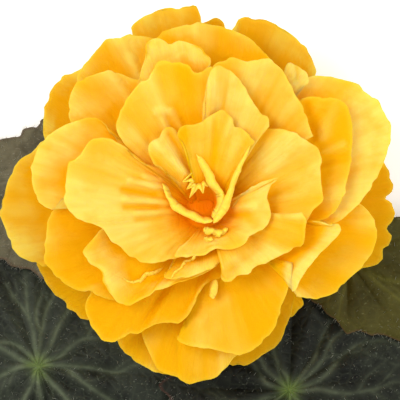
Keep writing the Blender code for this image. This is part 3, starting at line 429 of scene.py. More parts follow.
# Each leaf: hub, veins by azimuth in degrees, length and height of the end, and stalk, in mm
Leaf = namedtuple("Leaf", "name hub veins petiole dip", defaults=(VEIN_DIP,))
LEAVES = [
    Leaf("leaf_1", (-43.4, -39.9, 10.0),
         [(-62, 40, 3), (-32, 41, 6), (-4, 40, 9), (24, 39, 8), (52, 38, 5), (80, 38, 3), (108, 39, 2),
          (137, 42, 1.5), (166, 46, 0.6), (195, 50, 0.45), (227, 44, 0.45), (258, 40, 1), (280, 38, 1.5)],
         [(0.5, -47.0, 4.2), (-6.5, -46.5, 4.6), (-20.0, -44.5, 6.0), (-34.0, -42.0, 7.8),
          (-43.4, -39.9, 9.9)]),
    Leaf("leaf_2", (-22.0, 4.0, 11.5),
         [(22, 21, 10), (50, 23, 9), (80, 26, 8), (108, 28, 6), (136, 28, 5), (154, 33.2, 3.5),
          (174, 58, 0.45), (195, 45, 4.5), (212, 33, 8.5), (240, 26, 10), (275, 22, 10.5),
          (308, 19, 10.5), (338, 18, 10.5)],
         [(-1.0, 8.0, 3.6), (-7.0, 8.0, 4.2), (-14.0, 6.6, 7.4), (-22.0, 4.0, 11.4)], 0.02),
    Leaf("leaf_3", (21.2, -45.8, 11.5),
         [(262, 31, 9), (285, 35, 5), (315, 40, 1.5), (344, 46, 0.45), (372, 56, 0.45), (393, 47, 2.5),
          (418, 38, 5.5), (448, 31, 9), (480, 32, 12), (510, 29, 12.4), (538, 33, 12.3), (565, 31, 12.2),
          (588, 27, 12)],
         [(7.5, -73.0, 4.6), (14.0, -68.0, 5.2), (19.5, -59.0, 7.8), (21.2, -45.8, 11.4)], 0.05),
    Leaf("leaf_4", (36.0, -12.0, 12.8),
         [(-170, 13, 12.8), (-130, 14, 12.8), (-90, 19, 12), (-55, 26, 9), (-30, 38, 4.8), (-6, 50, 0.45),
          (22, 26, 6), (50, 14, 10.5), (85, 14, 12), (120, 14, 12.5), (150, 13, 12.6)],
         [(0.5, -3.5, 3.9), (7.5, -3.5, 4.8), (22.0, -6.5, 8.4), (36.0, -12.0, 12.7)]),
]

# Veins of the leaf at the lower left where the photo shows them, in mm; its others grow by themselves
DRAWN_VEINS = {"leaf_1": [
    [(-43.9, -38.9), (-43.9, -36.9), (-44.2, -34.8), (-44.7, -31.1), (-46, -26.8), (-46.5, -22.2), (-46.7, -18.4),
     (-47.2, -12.6), (-48.2, -5.8)],
    [(-46, -26.8), (-48, -24.2), (-49.7, -22.2), (-51.8, -18.7)],
    [(-43.7, -37.9), (-43.2, -34.8), (-42.7, -31.1), (-41.9, -27.3), (-41.2, -24.7), (-39.1, -21), (-37.6, -15.9)],
    [(-42.7, -31.1), (-43.9, -27.8), (-43.7, -24.2), (-42.7, -21.2)],
    [(-42.9, -38.1), (-41.7, -36.6), (-40.4, -34.8), (-38.4, -29.8), (-35.6, -25.2), (-33.1, -22.2)],
    [(-42.2, -38.6), (-39.6, -37.9), (-37.1, -36.6), (-35.1, -34.8), (-32.1, -32.8), (-27, -32.6), (-22.5, -33.6),
     (-16.9, -33.1), (-10.6, -34.8)],
    [(-30.8, -32.6), (-29.5, -29.8), (-27.3, -27.8)],
    [(-27, -32.6), (-24, -30.6), (-19.9, -29.8)],
    [(-42.7, -39.4), (-37.1, -39.6), (-32.1, -39.9), (-28.3, -40.4), (-23.2, -41.4), (-18.2, -39.4), (-11.9, -38.9)],
    [(-44.7, -37.9), (-47.2, -35.4), (-49.7, -34.1), (-52.3, -33.6), (-57.3, -33.8)],
    [(-44.7, -39.4), (-48.2, -39.9), (-52.3, -41.9), (-57.3, -44.4)],
    [(-43.7, -40.4), (-40.7, -43.4), (-37.1, -47), (-33.1, -52.5)],
    [(-44.2, -40.7), (-45.2, -44.4), (-47.2, -48.5), (-49.2, -53.8)],
    [(-37.1, -39.6), (-33.6, -42.4), (-29.5, -45.5), (-24.5, -48.7)],
]}

# Half widths in mm at the hub and at the finest, how far a vein wanders at each step in degrees, how deep
# veins lie, and how near an azimuth to a drawn vein stays free of another one, in degrees
VEIN_WIDTHS = (0.62, 0.22)
VEIN_WANDER = 9
VEIN_DEPTH = 0.35 * MM
VEIN_CLEARANCE = 22

# Hairs: how many stand on a square metre where "down" is one, how much denser they are on the hairiest leaf,
# "down" on a leaf's margin and on its blade, and the share of them that the underside goes without
LEAF_HAIRS = 2.6e5
STALK_HAIRS = 9.0e5
STEM_HAIRS = 4.0e5
HAIRINESS = {"leaf_2": 2.2}
MARGIN_HAIRS = 6.0
BLADE_HAIRS = 0.5
BARE_UNDERSIDE = 0.6

# The camera looks straight down on this place, and its view has the set width at this height
VIEW_CENTRE = (-1.77 * MM, 3.03 * MM)
VIEW_LEVEL = 33 * MM

# Soft studio: half the floor's side in metres, and how strongly the floor, the world and the petals shine. The
# petals' own faint light stands in for the daylight that passes through them.
FLOOR_HALF = 3.0
FLOOR_GLOW = 0.36
WORLD_LIGHT = 0.72
PETAL_GLOW = 0.09


def hex_colour(code):
    """An sRGB hex code as the linear colour with alpha that shaders take."""
    parts = [int(code[place:place + 2], 16) / 255 for place in (0, 2, 4)]
    return tuple(part / 12.92 if part <= 0.04045 else ((part + 0.055) / 1.055) ** 2.4 for part in parts) + (1.0,)


def add(tree, kind, inputs=None, **settings):
    """A node with its settings, its inputs given as values or as the sockets they are linked from."""
    node = tree.nodes.new(kind)
    for name, value in settings.items():
        setattr(node, name, value)
    for name, value in (inputs or {}).items():
        if isinstance(value, bpy.types.NodeSocket):
            tree.links.new(value, node.inputs[name])
        else:
            node.inputs[name].default_value = value
    return node


def attributes(tree, *names):
    """Named values of the mesh, each as the socket to read it from."""
    return [add(tree, "ShaderNodeAttribute", attribute_name=name).outputs["Fac"] for name in names]


def new_material(name):
    """An empty node material and its tree."""
    material = bpy.data.materials.new(name)
    material.use_nodes = True
    material.node_tree.nodes.clear()
    return material, material.node_tree


def in_metres(values):
    """Lengths or rows of lengths in mm, in metres."""
    return [in_metres(value) if isinstance(value, (tuple, list)) else value * MM for value in values]


def smooth(value):
    """A share from 0 to 1 that starts and ends gently."""
    value = np.clip(value, 0, 1)
    return value * value * (3 - 2 * value)


def between(pair, share):
    """The value at a share of the way from the first to the second."""
    return pair[0] + (pair[1] - pair[0]) * share


def vary(rng):
    """A random factor near one for the length of a wave."""
    return rng.uniform(*UNEVEN)


def phase(rng):
    """A random start for a wave, in radians."""
    return rng.uniform(0, TURN)


# Petals

def spread_out(values, axis, width, pick):
    """Each value replaced by the largest or the mean of its neighbours along one axis."""
    pads = [(0, 0)] * values.ndim
    pads[axis] = (width, width)
    windows = np.lib.stride_tricks.sliding_window_view(np.pad(values, pads, mode="edge"), 2 * width + 1, axis=axis)
    return pick(windows, axis=-1)


def margin_line(petal, spacing, fine):
    """A petal's margin in evenly spaced points, its outward direction and how far its lobes stand out."""
    line = curve_through(petal.margin, 12 * (len(petal.margin) - 1)) * MM
    steps = np.concatenate([[0], np.cumsum(np.linalg.norm(np.diff(line, axis=0), axis=1))])
    columns = int(np.clip(steps[-1] / spacing, *COLUMN_LIMITS))
    even = np.linspace(0, steps[-1], columns + 1)
    line = np.stack([np.interp(even, steps, line[:, axis]) for axis in (0, 1)], axis=1)
    calm = spread_out(line, 0, max(2, int(LOBE_WIDTH * columns / steps[-1])), np.mean)
    calm = spread_out(calm, 0, 2, np.mean)
    ahead = np.gradient(calm, axis=0)
    ahead /= np.linalg.norm(ahead, axis=1, keepdims=True)
    normal = np.stack([ahead[:, 1], -ahead[:, 0]], axis=1)
    lobes = ((line - calm) * normal).sum(axis=1) * smooth((1 - np.abs(np.linspace(-1, 1, columns + 1))) / 0.15)
    lobes = spread_out(lobes, 0, 2, np.mean)
    patchy = 0.5 + 0.5 * np.sin(even / NIBBLE_PATCH * TURN + phase(fine))
    nibbles = sum(size * np.sin(even / (wave * MM * vary(fine)) * TURN + phase(fine)) for wave, size in NIBBLES)
    line = line + normal * (MM * patchy * nibbles)[:, None]
    return line, normal, lobes


def turned_up(petal, across, fine):
    """Radius and angle by which a petal's margin turns up, more in some places along it than in others."""
    bend, turn = petal.roll
    uneven = np.clip(0.8 + 0.7 * np.sin(across * fine.uniform(5, 9) + phase(fine))
                     + 0.5 * np.sin(across * fine.uniform(12, 18) + phase(fine)), -0.2, 2)
    return (between((LEAST_ROLL[0], bend), np.clip(uneven, 0, 1)) * MM,
            np.radians(between((LEAST_ROLL[1], turn), uneven)))


def bowl(depth, radius, reach):
    """Height at distances from the axis of a midline that rises steeply from the claw and then arches over."""
    root_angle = math.radians(between(ROOT_ANGLES, depth ** 0.8))
    tip_angle = math.radians(between(TIP_ANGLES, depth ** 0.9))
    root_radius = between(ROOT_RADII, depth) * MM
    steps = np.linspace(0, 1, MIDLINE_STEPS + 1)
    slope = tip_angle + (root_angle - tip_angle) * (1 - steps) ** 2
    middle = (slope[1:] + slope[:-1]) / 2
    run = np.concatenate([[0], np.cumsum(np.cos(middle))]) / MIDLINE_STEPS
    rise = np.concatenate([[0], np.cumsum(np.sin(middle))]) / MIDLINE_STEPS
    length = (reach - root_radius) / run.max()
    return between(ROOT_HEIGHTS, depth) * MM + length * np.interp((radius - root_radius) / length, run, rise)


def waves_of(side, outward, margin_length, fullness, fine):
    """Ruffles, ripples and creases of a blade, as shares of the ruffles' height."""
    ruffles = sum(size * np.sin(side * waves * vary(fine) + phase(fine)) * outward ** fade
                  for waves, size, fade in RUFFLES)
    ripples = sum(size * np.sin(side * waves * vary(fine) + phase(fine) + outward * fine.uniform(-2, 2))
                  * smooth(outward / 0.35) for waves, size in RIPPLES)
    creases = sum(np.sin(side * math.pi * margin_length / (wave * MM) * vary(fine)
                         + outward * fine.uniform(-3, 3) + phase(fine)) * smooth(outward / 0.4)
                  * np.clip(np.sin(outward * fine.uniform(3, 7) + side * fine.uniform(-6, 6) + phase(fine)), 0, 1)
                  for wave in CREASES)
    return fullness * (ruffles + ripples) + CREASE_HEIGHT * creases


def from_segment(places, start, end):
    """How far places lie from a segment, and the share of the way along it where each is nearest."""
    way = end - start
    share = np.clip((places - start) @ way / (way @ way), 0, 1)
    return np.linalg.norm(places - start - share[..., None] * way, axis=-1), share


def folds_of(petal, plan):
    """Height of the ridges and hollows of a blade."""
    height = 0
    for x, y, end_x, end_y, fold_height, width in petal.folds:
        gap, _ = from_segment(plan, np.array([x, y]) * MM, np.array([end_x, end_y]) * MM)
        height = height + fold_height * MM * np.exp(-(gap / (width * MM)) ** 2)
    return height


def petal_surface(order, petal, rows, spacing, ruffle):
    """Middle surface of one petal, the places along and across it and the height of its relief."""
    depth = between((0.05, 1), order / (len(PETALS) - 1))
    fine = random.Random(700 + order)
    line, normal, lobes = margin_line(petal, spacing, fine)
    across = np.linspace(-1, 1, len(line))
    bend, turn = turned_up(petal, across, fine)

    # Seen from above the blade spans from the claw to where its margin begins to turn. Its inner rows run
    # straighter than its margin, so that they don't cross.
    azimuth = math.radians(petal.azimuth)
    claw = between(ROOT_RADII, depth) * MM * np.array([math.cos(azimuth), math.sin(azimuth)]) \
        + CLAW_WIDTH * across[:, None] * np.array([-math.sin(azimuth), math.cos(azimuth)])
    edge = line - normal * (bend * np.sin(np.minimum(turn, math.pi / 2)))[:, None]
    calm = spread_out(edge, 0, round(CALM_WIDTH / spacing), np.mean)
    outward = 1 - (1 - np.linspace(0, 1, rows + 1)[:, None]) ** 1.25
    plan = claw + (calm - claw) * outward[..., None] + (edge - calm) * outward[..., None] ** 5
    side = np.broadcast_to(across, plan.shape[:2])
    outward = np.broadcast_to(outward, plan.shape[:2])

    # A bowl with cupped sides, a raised margin, waves, and folds that run in from the notches
    height = bowl(depth, np.linalg.norm(plan, axis=-1), np.linalg.norm(edge, axis=-1).max())
    aside = -plan[..., 0] * math.sin(azimuth) + plan[..., 1] * math.cos(azimuth)
    half_width = np.abs(aside).max()
    height = height + petal.cup * (aside / half_width) ** 2 * half_width * smooth(outward / 0.5)
    height = height + petal.rim * RIM_HEIGHT * smooth((outward - 0.6) / 0.4) ** 2
    fullness = min(1, half_width / FULL_HALF_WIDTH)
    relief = ruffle * waves_of(side, outward, len(line) * spacing, fullness, fine) \
        - FOLD_SHARE * lobes * outward ** 3 + folds_of(petal, plan)
    blade = np.concatenate([plan, (height + relief)[..., None] + BLOOM_HEIGHT], axis=-1)

    # The margin turns up in an arc that ends above the drawn line
    arc = turn * np.linspace(0, 1, ROLL_STEPS + 1)[1:, None]
    rolled = np.concatenate([edge + normal * (bend * np.sin(arc))[..., None],
                             (blade[-1, :, 2] + bend * (1 - np.cos(arc)))[..., None]], axis=-1)
    points = np.concatenate([blade, rolled])
    beyond = 1 + ROLL_SPAN * np.linspace(0, 1, ROLL_STEPS + 1)[1:, None] * np.ones_like(across)
    outward = np.concatenate([outward, beyond])
    relief = np.concatenate([relief, np.broadcast_to(relief[-1:], beyond.shape)]) / MM
    return points, outward, np.broadcast_to(across, outward.shape), relief


def stacked(settings):
    """Surfaces of all petals, each lifted to lie clear of the ones beneath, and the height of the whole."""
    heights = np.zeros((CELLS, CELLS))
    surfaces = {}
    for order in reversed(range(len(PETALS))):
        detail = HEART_DETAIL if order in HEART_PETALS else 1
        points, outward, side, relief = petal_surface(order, PETALS[order], round(settings.rows * detail),
                                                      settings.spacing / detail, settings.ruffle)
        beneath = at_place(heights, points)
        gap = between(GAPS, smooth((outward - 0.5) / 0.5))
        lift = np.maximum(beneath + gap + settings.thickness / 2 - points[..., 2], 0) * smooth((outward - 0.2) / 0.25)
        width = round(LIFT_SPREAD * detail)
        for pick in (np.max, np.mean):
            lift = spread_out(spread_out(lift, 0, width, pick), 1, width, pick)
        points[..., 2] += lift
        surfaces[order] = points, outward, side, relief

        # Middles of the edges and faces are marked too, so that no cell is missed
        denser = points
        for axis in (0, 1):
            size = denser.shape[axis]
            first, second = np.take(denser, range(size - 1), axis), np.take(denser, range(1, size), axis)
            denser = np.concatenate([denser, (first + second) / 2], axis=axis)
        cell = cell_at(denser)
        np.maximum.at(heights, (cell[..., 0], cell[..., 1]), denser[..., 2] + settings.thickness / 2)
    return surfaces, heights


def cell_at(points):
    """The cells of the height map that points lie over."""
    return np.clip(np.round(points[..., :2] / CELL + CELLS / 2).astype(int), 0, CELLS - 1)


def at_place(heights, points):
    """The height map's value at each point."""
    cell = cell_at(points)
    return heights[cell[..., 0], cell[..., 1]]


def shell(middle, thickness):
    """Points and faces of a closed thin shell about a grid of middle points."""
    down = np.gradient(middle, axis=0)
    over = np.gradient(middle, axis=1)
    normal = np.cross(down, over)
    normal /= np.maximum(np.linalg.norm(normal, axis=2, keepdims=True), 1e-12)
    offset = normal * thickness[..., None] / 2
    points = np.concatenate([(middle + offset).reshape(-1, 3), (middle - offset).reshape(-1, 3)])
    rows, columns = middle.shape[0] - 1, middle.shape[1] - 1
    count = (rows + 1) * (columns + 1)
    corner = np.arange(count).reshape(rows + 1, columns + 1)
    near, far = corner[:-1, :-1].ravel(), corner[1:, :-1].ravel()
    upper = np.stack([near, far, far + 1, near + 1], axis=1)
    lower = upper[:, ::-1] + count
    edge = np.concatenate([corner[0, :], corner[1:, -1], corner[-1, -2::-1], corner[-2:0:-1, 0]])
    following = np.roll(edge, -1)
    rim = np.stack([edge, following, following + count, edge + count], axis=1)
    return points, np.concatenate([upper, lower, rim])


def build(name, points, faces, material, attributes=None, chart=None):
    """A smooth mesh object at the origin, with named values at its points and a map of its surface."""
    mesh = bpy.data.meshes.new(name)
    mesh.from_pydata(np.asarray(points, float).tolist(), [], [list(map(int, face)) for face in faces])
    for key, values in (attributes or {}).items():
        mesh.attributes.new(key, "FLOAT", "POINT").data.foreach_set("value", np.asarray(values, np.float32).ravel())
    if chart is not None:
        corners = np.zeros(len(mesh.loops), np.int32)
        mesh.loops.foreach_get("vertex_index", corners)
        mesh.uv_layers.new(name="surface").uv.foreach_set("vector", np.asarray(chart, np.float32)[corners].ravel())
    mesh.shade_smooth()
    mesh.materials.append(material)
    thing = bpy.data.objects.new(name, mesh)
    bpy.context.scene.collection.objects.link(thing)
    return thing


def throat_orange_and_shade(points):
    """How near each place is to the throat's orange, partly painted shade, and to the painted shade of the valley that
    runs out of it, from 0 to 1.
    """
    away = np.linalg.norm((points - np.array(THROAT)) / THROAT_SIZE, axis=1)
    gap, share = from_segment(points[:, :2], *np.array(SHADE_VALLEY) * MM)
    return np.maximum(np.exp(-away ** 2), between(SHADE_VALLEY_STRENGTH, share) * np.exp(-(gap / SHADE_VALLEY_WIDTH) ** 2))


def flatness(middle):
    """How level a surface lies at each place, from 0 where it is upright to 1."""
    normal = np.cross(np.gradient(middle, axis=0), np.gradient(middle, axis=1))
    return np.abs(normal[..., 2]) / np.maximum(np.linalg.norm(normal, axis=2), 1e-12)


def shade_depth(heights, points):
    """How far each place lies down among the petals round it, from 0 to 1, where shade is painted."""
    about = heights
    for axis in (0, 1):
        about = spread_out(about, axis, 3, np.mean)
    return smooth((at_place(about, points) - points[..., 2] - 0.3 * MM) / (5 * MM))


def petal_group(name, orders, surfaces, heights, settings, material):
    """Several petals as one mesh."""
    points, faces, chart = [], [], []
    values = {key: [] for key in ("outward", "paleness", "throat", "rim", "dull")}
    total = 0
    for order in orders:
        petal = PETALS[order]
        middle, outward, side, relief = surfaces[order]
        edge = np.minimum(1 + ROLL_SPAN - outward, (1 - np.abs(side)) * 1.5)
        some, quads = shell(middle, settings.thickness * (0.35 + 0.65 * smooth(edge / 0.12)))
        points.append(some)
        faces.append(quads + total)
        total += len(some)
        # Painted shade: deeper gold where a place lies down among the petals round it and where it stands steep; ridges
        # get a painted highlight
        down = shade_depth(heights, middle)
        near = np.exp(-((middle[..., :2] / HEART_RADIUS) ** 2).sum(axis=-1))
        steep = smooth((0.6 - flatness(middle)) / 0.4)
        start, gain = petal.light
        pale = petal.pale + RIDGE_HIGHLIGHT * relief + gain * smooth((outward - start) / (1 - start) * 1.5) \
            - HOLLOW_SHADE * down - HEART_GOLD * near - STEEP_SHADE * steep
        # The margins' paler rim, partly their own colour and partly painted highlight, is taken away down among other
        # petals, where shade is painted
        rim = RIM_TINT * smooth((outward - 0.965) / 0.05) * (1 - down)
        for key, both in (("outward", outward), ("paleness", pale), ("rim", rim)):
            values[key].append(np.tile(both.ravel(), 2))
        values["throat"].append(throat_orange_and_shade(some))
        values["dull"].append(np.full(len(some), petal.dull))
        flat = np.stack([(side * 0.5 + 0.5) + order * 1.37, outward], axis=-1).reshape(-1, 2)
        chart.append(np.tile(flat, (2, 1)))
    return build(name, np.concatenate(points), np.concatenate(faces), material,
                 {key: np.concatenate(rows) for key, rows in values.items()}, np.concatenate(chart))


def ribbon_surface(ribbon, heights, seed):
    """Middle surface of a petaloid from foot to rim, its thickness and the places up and along it."""
    fine = random.Random(seed)
    rim = curve_through(ribbon.rim, RIBBON_COLUMNS)
    foot = curve_through(ribbon.foot, RIBBON_COLUMNS)
    thickness = rim[:, 3] * MM
    rim, foot = rim[:, :3] * MM, foot * MM
    along = np.linspace(0, 1, RIBBON_COLUMNS + 1)
    length = np.linalg.norm(np.diff(rim, axis=0), axis=1).sum()
    knobs = [sum(size * np.sin(along * length / (wave * MM) * TURN * vary(fine) + phase(fine))
                 for wave, size in KNOBS) * MM for _ in range(4)]
    rim += np.stack(knobs[:3], axis=-1) * (0.6, 0.6, 1.0)
    inward = (foot - rim) * (1, 1, 0)
    inward /= np.maximum(np.linalg.norm(inward, axis=1, keepdims=True), 1e-6)
    tooth, patch, reach = [size * MM for size in TEETH]
    teeth = np.maximum(0, np.sin(along * length / tooth * TURN + phase(fine))) ** 8 \
        * np.maximum(0, np.sin(along * length / patch * TURN + phase(fine)))
    rim += inward * (reach * teeth)[:, None]
    thickness = thickness * (1 + 0.3 * knobs[3] / MM)
    rim[:, 2] = np.maximum(rim[:, 2], at_place(heights, rim) + 0.4 * thickness + 0.3 * MM)
    up = np.linspace(0, 1, RIBBON_ROWS + 1)[:, None] ** 0.7
    points = foot + (rim - foot) * up[..., None]
    ends = np.minimum(along, 1 - along)
    cap = np.clip((up - 0.80) / 0.20, 0, 1)
    thickness = thickness * (0.45 + 0.55 * smooth(up / 0.8)) * np.sqrt(1 - 0.96 * cap ** 2) \
        * (0.35 + 0.65 * smooth(ends / 0.05))
    return points, thickness, np.broadcast_to(up, thickness.shape), np.broadcast_to(along, thickness.shape)


def heart(heights, material):
    """The petaloids about the throat and the cushion that they spring from, as one mesh."""
    points, faces, ups, chart = [], [], [], []
    total = 0
    for index, ribbon in enumerate(RIBBONS):
        middle, thickness, up, along = ribbon_surface(ribbon, heights, 40 + index)
        some, quads = shell(middle, thickness)
        points.append(some)
        faces += (quads + total).tolist()
        total += len(some)
        ups.append(np.tile(up.ravel(), 2))
        chart.append(np.tile(np.stack([along * 0.4 + index * 0.7, up], axis=-1).reshape(-1, 2), (2, 1)))
    some, quads, _ = tube(in_metres(CUSHION_ROUTE), in_metres(CUSHION_RADII), 32, 12, seed=2, rough=0.02)
    points.append(some)
    faces += [tuple(corner + total for corner in face) for face in quads]
    ups.append(np.zeros(len(some)))
    chart.append(some[:, :2] / (30 * MM))
    # The cushion is darkened by painted shade
    dull = np.concatenate([np.zeros(total), np.full(len(some), CUSHION_SHADE)])
    points, ups = np.concatenate(points), np.concatenate(ups)
    # Petaloids run from the throat's orange at their feet, partly painted shade, to pale rims
    rim = smooth((ups - 0.5) / 0.3)
    return build("heart", points, faces, material,
                 {"outward": 0.3 + 0.7 * ups, "paleness": 0.3 + 0.5 * ups, "rim": rim, "dull": dull,
                  "throat": throat_orange_and_shade(points) * (1 - rim)}, np.concatenate(chart))


def petal_finish(settings):
    """Fresh golden begonia petal: satin, juicy and a little see-through, with fine veins that fan out
    from the claw, a paler margin and a throat that deepens to orange, partly painted shade. Its paleness
    carries painted highlight on ridges and painted shade down among petals and on steep faces, and its
    faint light of its own stands in for the daylight that passes through it."""
    material, tree = new_material("golden begonia petal")
    outward, paleness, throat, rim, dull = attributes(tree, "outward", "paleness", "throat", "rim", "dull")
    chart = add(tree, "ShaderNodeUVMap", uv_map="surface").outputs["UV"]
    place = add(tree, "ShaderNodeTexCoord").outputs["Object"]

    # About forty veins across a petal of 30 mm, fewer than in life so that they show, wavering slowly along
    # its length
    fan = add(tree, "ShaderNodeMapping", {"Vector": chart, "Scale": (34.0, 1.6, 1.0)}).outputs[0]
    veins = add(tree, "ShaderNodeTexNoise", {"Vector": fan, "Scale": 1.0, "Detail": 3.0, "Roughness": 0.55}).outputs[0]
    cloud = add(tree, "ShaderNodeTexNoise", {"Vector": place, "Scale": 70.0, "Detail": 2.0}).outputs[0]

    claw = add(tree, "ShaderNodeMapRange", {"Value": outward, 1: 0.0, 2: 0.4}).outputs[0]
    blade = add(tree, "ShaderNodeMix", {0: claw, 6: settings.claw_colour, 7: settings.blade_colour},
                data_type="RGBA").outputs[2]
    mottled = add(tree, "ShaderNodeMapRange", {"Value": cloud, 1: 0.3, 2: 0.7, 3: -0.22, 4: 0.18}).outputs[0]
    lighter = add(tree, "ShaderNodeMath", {0: paleness, 1: mottled}, operation="ADD").outputs[0]
    lighter = add(tree, "ShaderNodeMath", {0: lighter, 1: claw}, operation="MULTIPLY", use_clamp=True).outputs[0]
    lighter = add(tree, "ShaderNodeMath", {0: lighter, 1: 1.7}, operation="POWER").outputs[0]
    pools = add(tree, "ShaderNodeTexNoise", {"Vector": place, "Scale": 150.0, "Detail": 3.0}).outputs[0]
    pools = add(tree, "ShaderNodeMapRange", {"Value": pools, 1: 0.48, 2: 0.72, 3: 0.0, 4: 0.55}).outputs[0]
    lines = add(tree, "ShaderNodeMapRange", {"Value": veins, 1: 0.35, 2: 0.7, 3: 0.0, 4: 0.25}).outputs[0]
    # The throat's orange, partly the petals' own colour and partly painted shade
    deep = add(tree, "ShaderNodeMapRange", {"Value": throat, 1: 0.08, 2: 0.75}).outputs[0]
    # The dull tint fades some petals and paints shade on others, and the rim colour is partly a painted highlight on
    # the margins
    colour = blade
    for share, over, blend in ((lighter, settings.pale_colour, "MIX"), (pools, settings.vein_colour, "MIX"),
                               (lines, settings.vein_colour, "MIX"), (dull, settings.dull_colour, "MULTIPLY"),
                               (deep, settings.throat_colour, "MIX"), (rim, settings.rim_colour, "MIX")):
        colour = add(tree, "ShaderNodeMix", {0: share, 6: colour, 7: over}, data_type="RGBA",
                     blend_type=blend).outputs[2]

    grain = add(tree, "ShaderNodeTexNoise", {"Vector": place, "Scale": 2200.0, "Detail": 2.0}).outputs[0]
    crumple = add(tree, "ShaderNodeTexNoise",
                  {"Vector": place, "Scale": 240.0, "Detail": 3.0, "Distortion": 0.6}).outputs[0]
    folds = add(tree, "ShaderNodeBump", {"Height": crumple, "Strength": 0.6, "Distance": 0.9 * MM}).outputs[0]
    ridges = add(tree, "ShaderNodeBump", {"Height": veins, "Strength": 0.7, "Distance": 0.4 * MM,
                                          "Normal": folds}).outputs[0]
    bump = add(tree, "ShaderNodeBump", {"Height": grain, "Strength": 0.15, "Distance": 0.05 * MM,
                                        "Normal": ridges}).outputs[0]
    shader = add(tree, "ShaderNodeBsdfPrincipled",
                 {"Base Color": colour, "Roughness": 0.48, "IOR": 1.4, "Normal": bump,
                  "Subsurface Weight": 0.5, "Subsurface Radius": (1.0, 0.75, 0.06), "Subsurface Scale": 1.6 * MM,
                  "Specular IOR Level": 0.05, "Emission Color": hex_colour("E6AC00"), "Emission Strength": PETAL_GLOW})
    add(tree, "ShaderNodeOutputMaterial", {"Surface": shader.outputs[0]})
    return material


# Tubes

def curve_through(points, steps):
    """Points along a smooth curve through the given ones, evenly spaced between them."""
    points = [np.array(point, float) for point in points]
    ends = [2 * points[0] - points[1]] + points + [2 * points[-1] - points[-2]]
    spans = len(points) - 1
    result = []
    for index in range(steps + 1):
        place = spans * index / steps
        span = min(int(place), spans - 1)
        share = place - span
        before, start, end, after = ends[span:span + 4]
        result.append(0.5 * (2 * start + (end - before) * share
                             + (2 * before - 5 * start + 4 * end - after) * share ** 2
                             + (3 * start - before - 3 * end + after) * share ** 3))
    return np.array(result)


def tube(route, radii, sides, steps, seed=0, rough=0.03):
    """Points, faces and cut mask of a closed tube with slightly uneven sides."""
    rng = random.Random(seed)
    phases = [phase(rng) for _ in range(3)]
    centres = curve_through(route, steps)
    widths = curve_through([[radius] for radius in radii], steps)[:, 0]
    points, cut = [], []
    across = None
    for index, centre in enumerate(centres):
        ahead = Vector(centres[min(index + 1, steps)] - centres[max(index - 1, 0)]).normalized()
        across = ahead.cross(Vector((0, 0, 1))) if across is None else across
        across = (across - ahead * across.dot(ahead)).normalized()
        up = across.cross(ahead)
        for side in range(sides):
            angle = 2 * math.pi * (side + 0.5) / sides
            uneven = 1 + rough * (math.sin(3 * angle + phases[0] + index * 0.11)
                                  + 0.6 * math.sin(7 * angle + phases[1] - index * 0.05)
                                  + 0.8 * math.sin(index * 0.35 + phases[2]))
            points.append(Vector(centre) + (across * math.cos(angle) + up * math.sin(angle)) * widths[index] * uneven)
            cut.append(0.0)
    faces = []
    for ring in range(steps):
        for side in range(sides):
            here = ring * sides + side
            there = ring * sides + (side + 1) % sides
            faces.append((here, here + sides, there + sides, there))
    # Each end is closed by rings that step in to a point
    for end, ring, turn in ((0, 0, 1), (steps, steps * sides, -1)):
        ahead = (Vector(centres[0] - centres[1]) if end == 0 else Vector(centres[-1] - centres[-2])).normalized()
        loop = list(range(ring, ring + sides))
        for shrink, push in ((0.93, 0.054), (0.80, 0.027), (0.4, 0.0)):
            start = len(points)
            for side in range(sides):
                rim = Vector(points[ring + side]) - Vector(centres[end])
                points.append(Vector(centres[end]) + rim * shrink + ahead * widths[end] * push)
                cut.append(1.0 if shrink < 0.9 else 0.0)
            for side in range(sides):
                following = (side + 1) % sides
                quad = (loop[side], loop[following], start + following, start + side)
                faces.append(quad if turn > 0 else tuple(reversed(quad)))
            loop = list(range(start, start + sides))
        points.append(Vector(centres[end]))
        cut.append(1.0)
        for side in range(sides):
            triangle = (loop[side], loop[(side + 1) % sides], len(points) - 1)
            faces.append(triangle if turn > 0 else tuple(reversed(triangle)))
    return np.array(points), faces, cut


def joined(parts):
    """Tubes gathered as one list of points, faces and cut masks."""
    points, faces, cut = [], [], []
    for some, quads, ends in parts:
        start = sum(len(each) for each in points)
        points.append(some)
        faces += [tuple(corner + start for corner in face) for face in quads]
        cut += ends
    return np.concatenate(points), faces, cut


# Leaves

def blade_surface(leaf, per_vein, rings):
    """Middle surface of a leaf in rings about its hub, with the distance and the share of the way from it."""
    hub = np.array(leaf.hub)
    veins = leaf.veins
    count = len(veins) * per_vein
    rng = random.Random(leaf.name)
    azimuths, reaches, edges, bulges = [], [], [], []
    for spoke in range(count):
        index, step = divmod(spoke, per_vein)
        share = step / per_vein
        azimuth, length, edge_height = veins[index]
        wraps = index == len(veins) - 1
        next_azimuth, next_length, next_height = veins[0] if wraps else veins[index + 1]
        if wraps:
            next_azimuth += 360
        dip = SINUS_DIP if wraps else leaf.dip
        bulge = math.sin(math.pi * share)
        tooth = TOOTH_DEPTH * math.cos(4 * math.pi * share) + TOOTH_CHANCE * rng.uniform(-1, 1)
        reach = (length + (next_length - length) * share) * (1 - dip * bulge) * (1 + tooth)
        edge = edge_height + (next_height - edge_height) * (1 - math.cos(math.pi * share)) / 2
        if wraps:
            edge += (hub[2] - edge) * bulge * SINUS_LIFT
        azimuths.append(math.radians(azimuth + (next_azimuth - azimuth) * share))
        reaches.append(reach)
        edges.append(edge)
        bulges.append(bulge)
    azimuths, reaches, edges, bulges = [np.array(row)[None, :] for row in (azimuths, reaches, edges, bulges)]
    spread = (np.arange(1, rings + 1) / rings)[:, None]
    away = reaches * spread
    height = hub[2] + (edges - hub[2]) * spread ** 1.5
    puff = BLADE_PUFF * bulges * np.sin(math.pi * spread) ** 0.8
    points = np.stack([hub[0] + away * np.cos(azimuths), hub[1] + away * np.sin(azimuths), height + puff],
                      axis=-1) * MM
    return points, away, spread


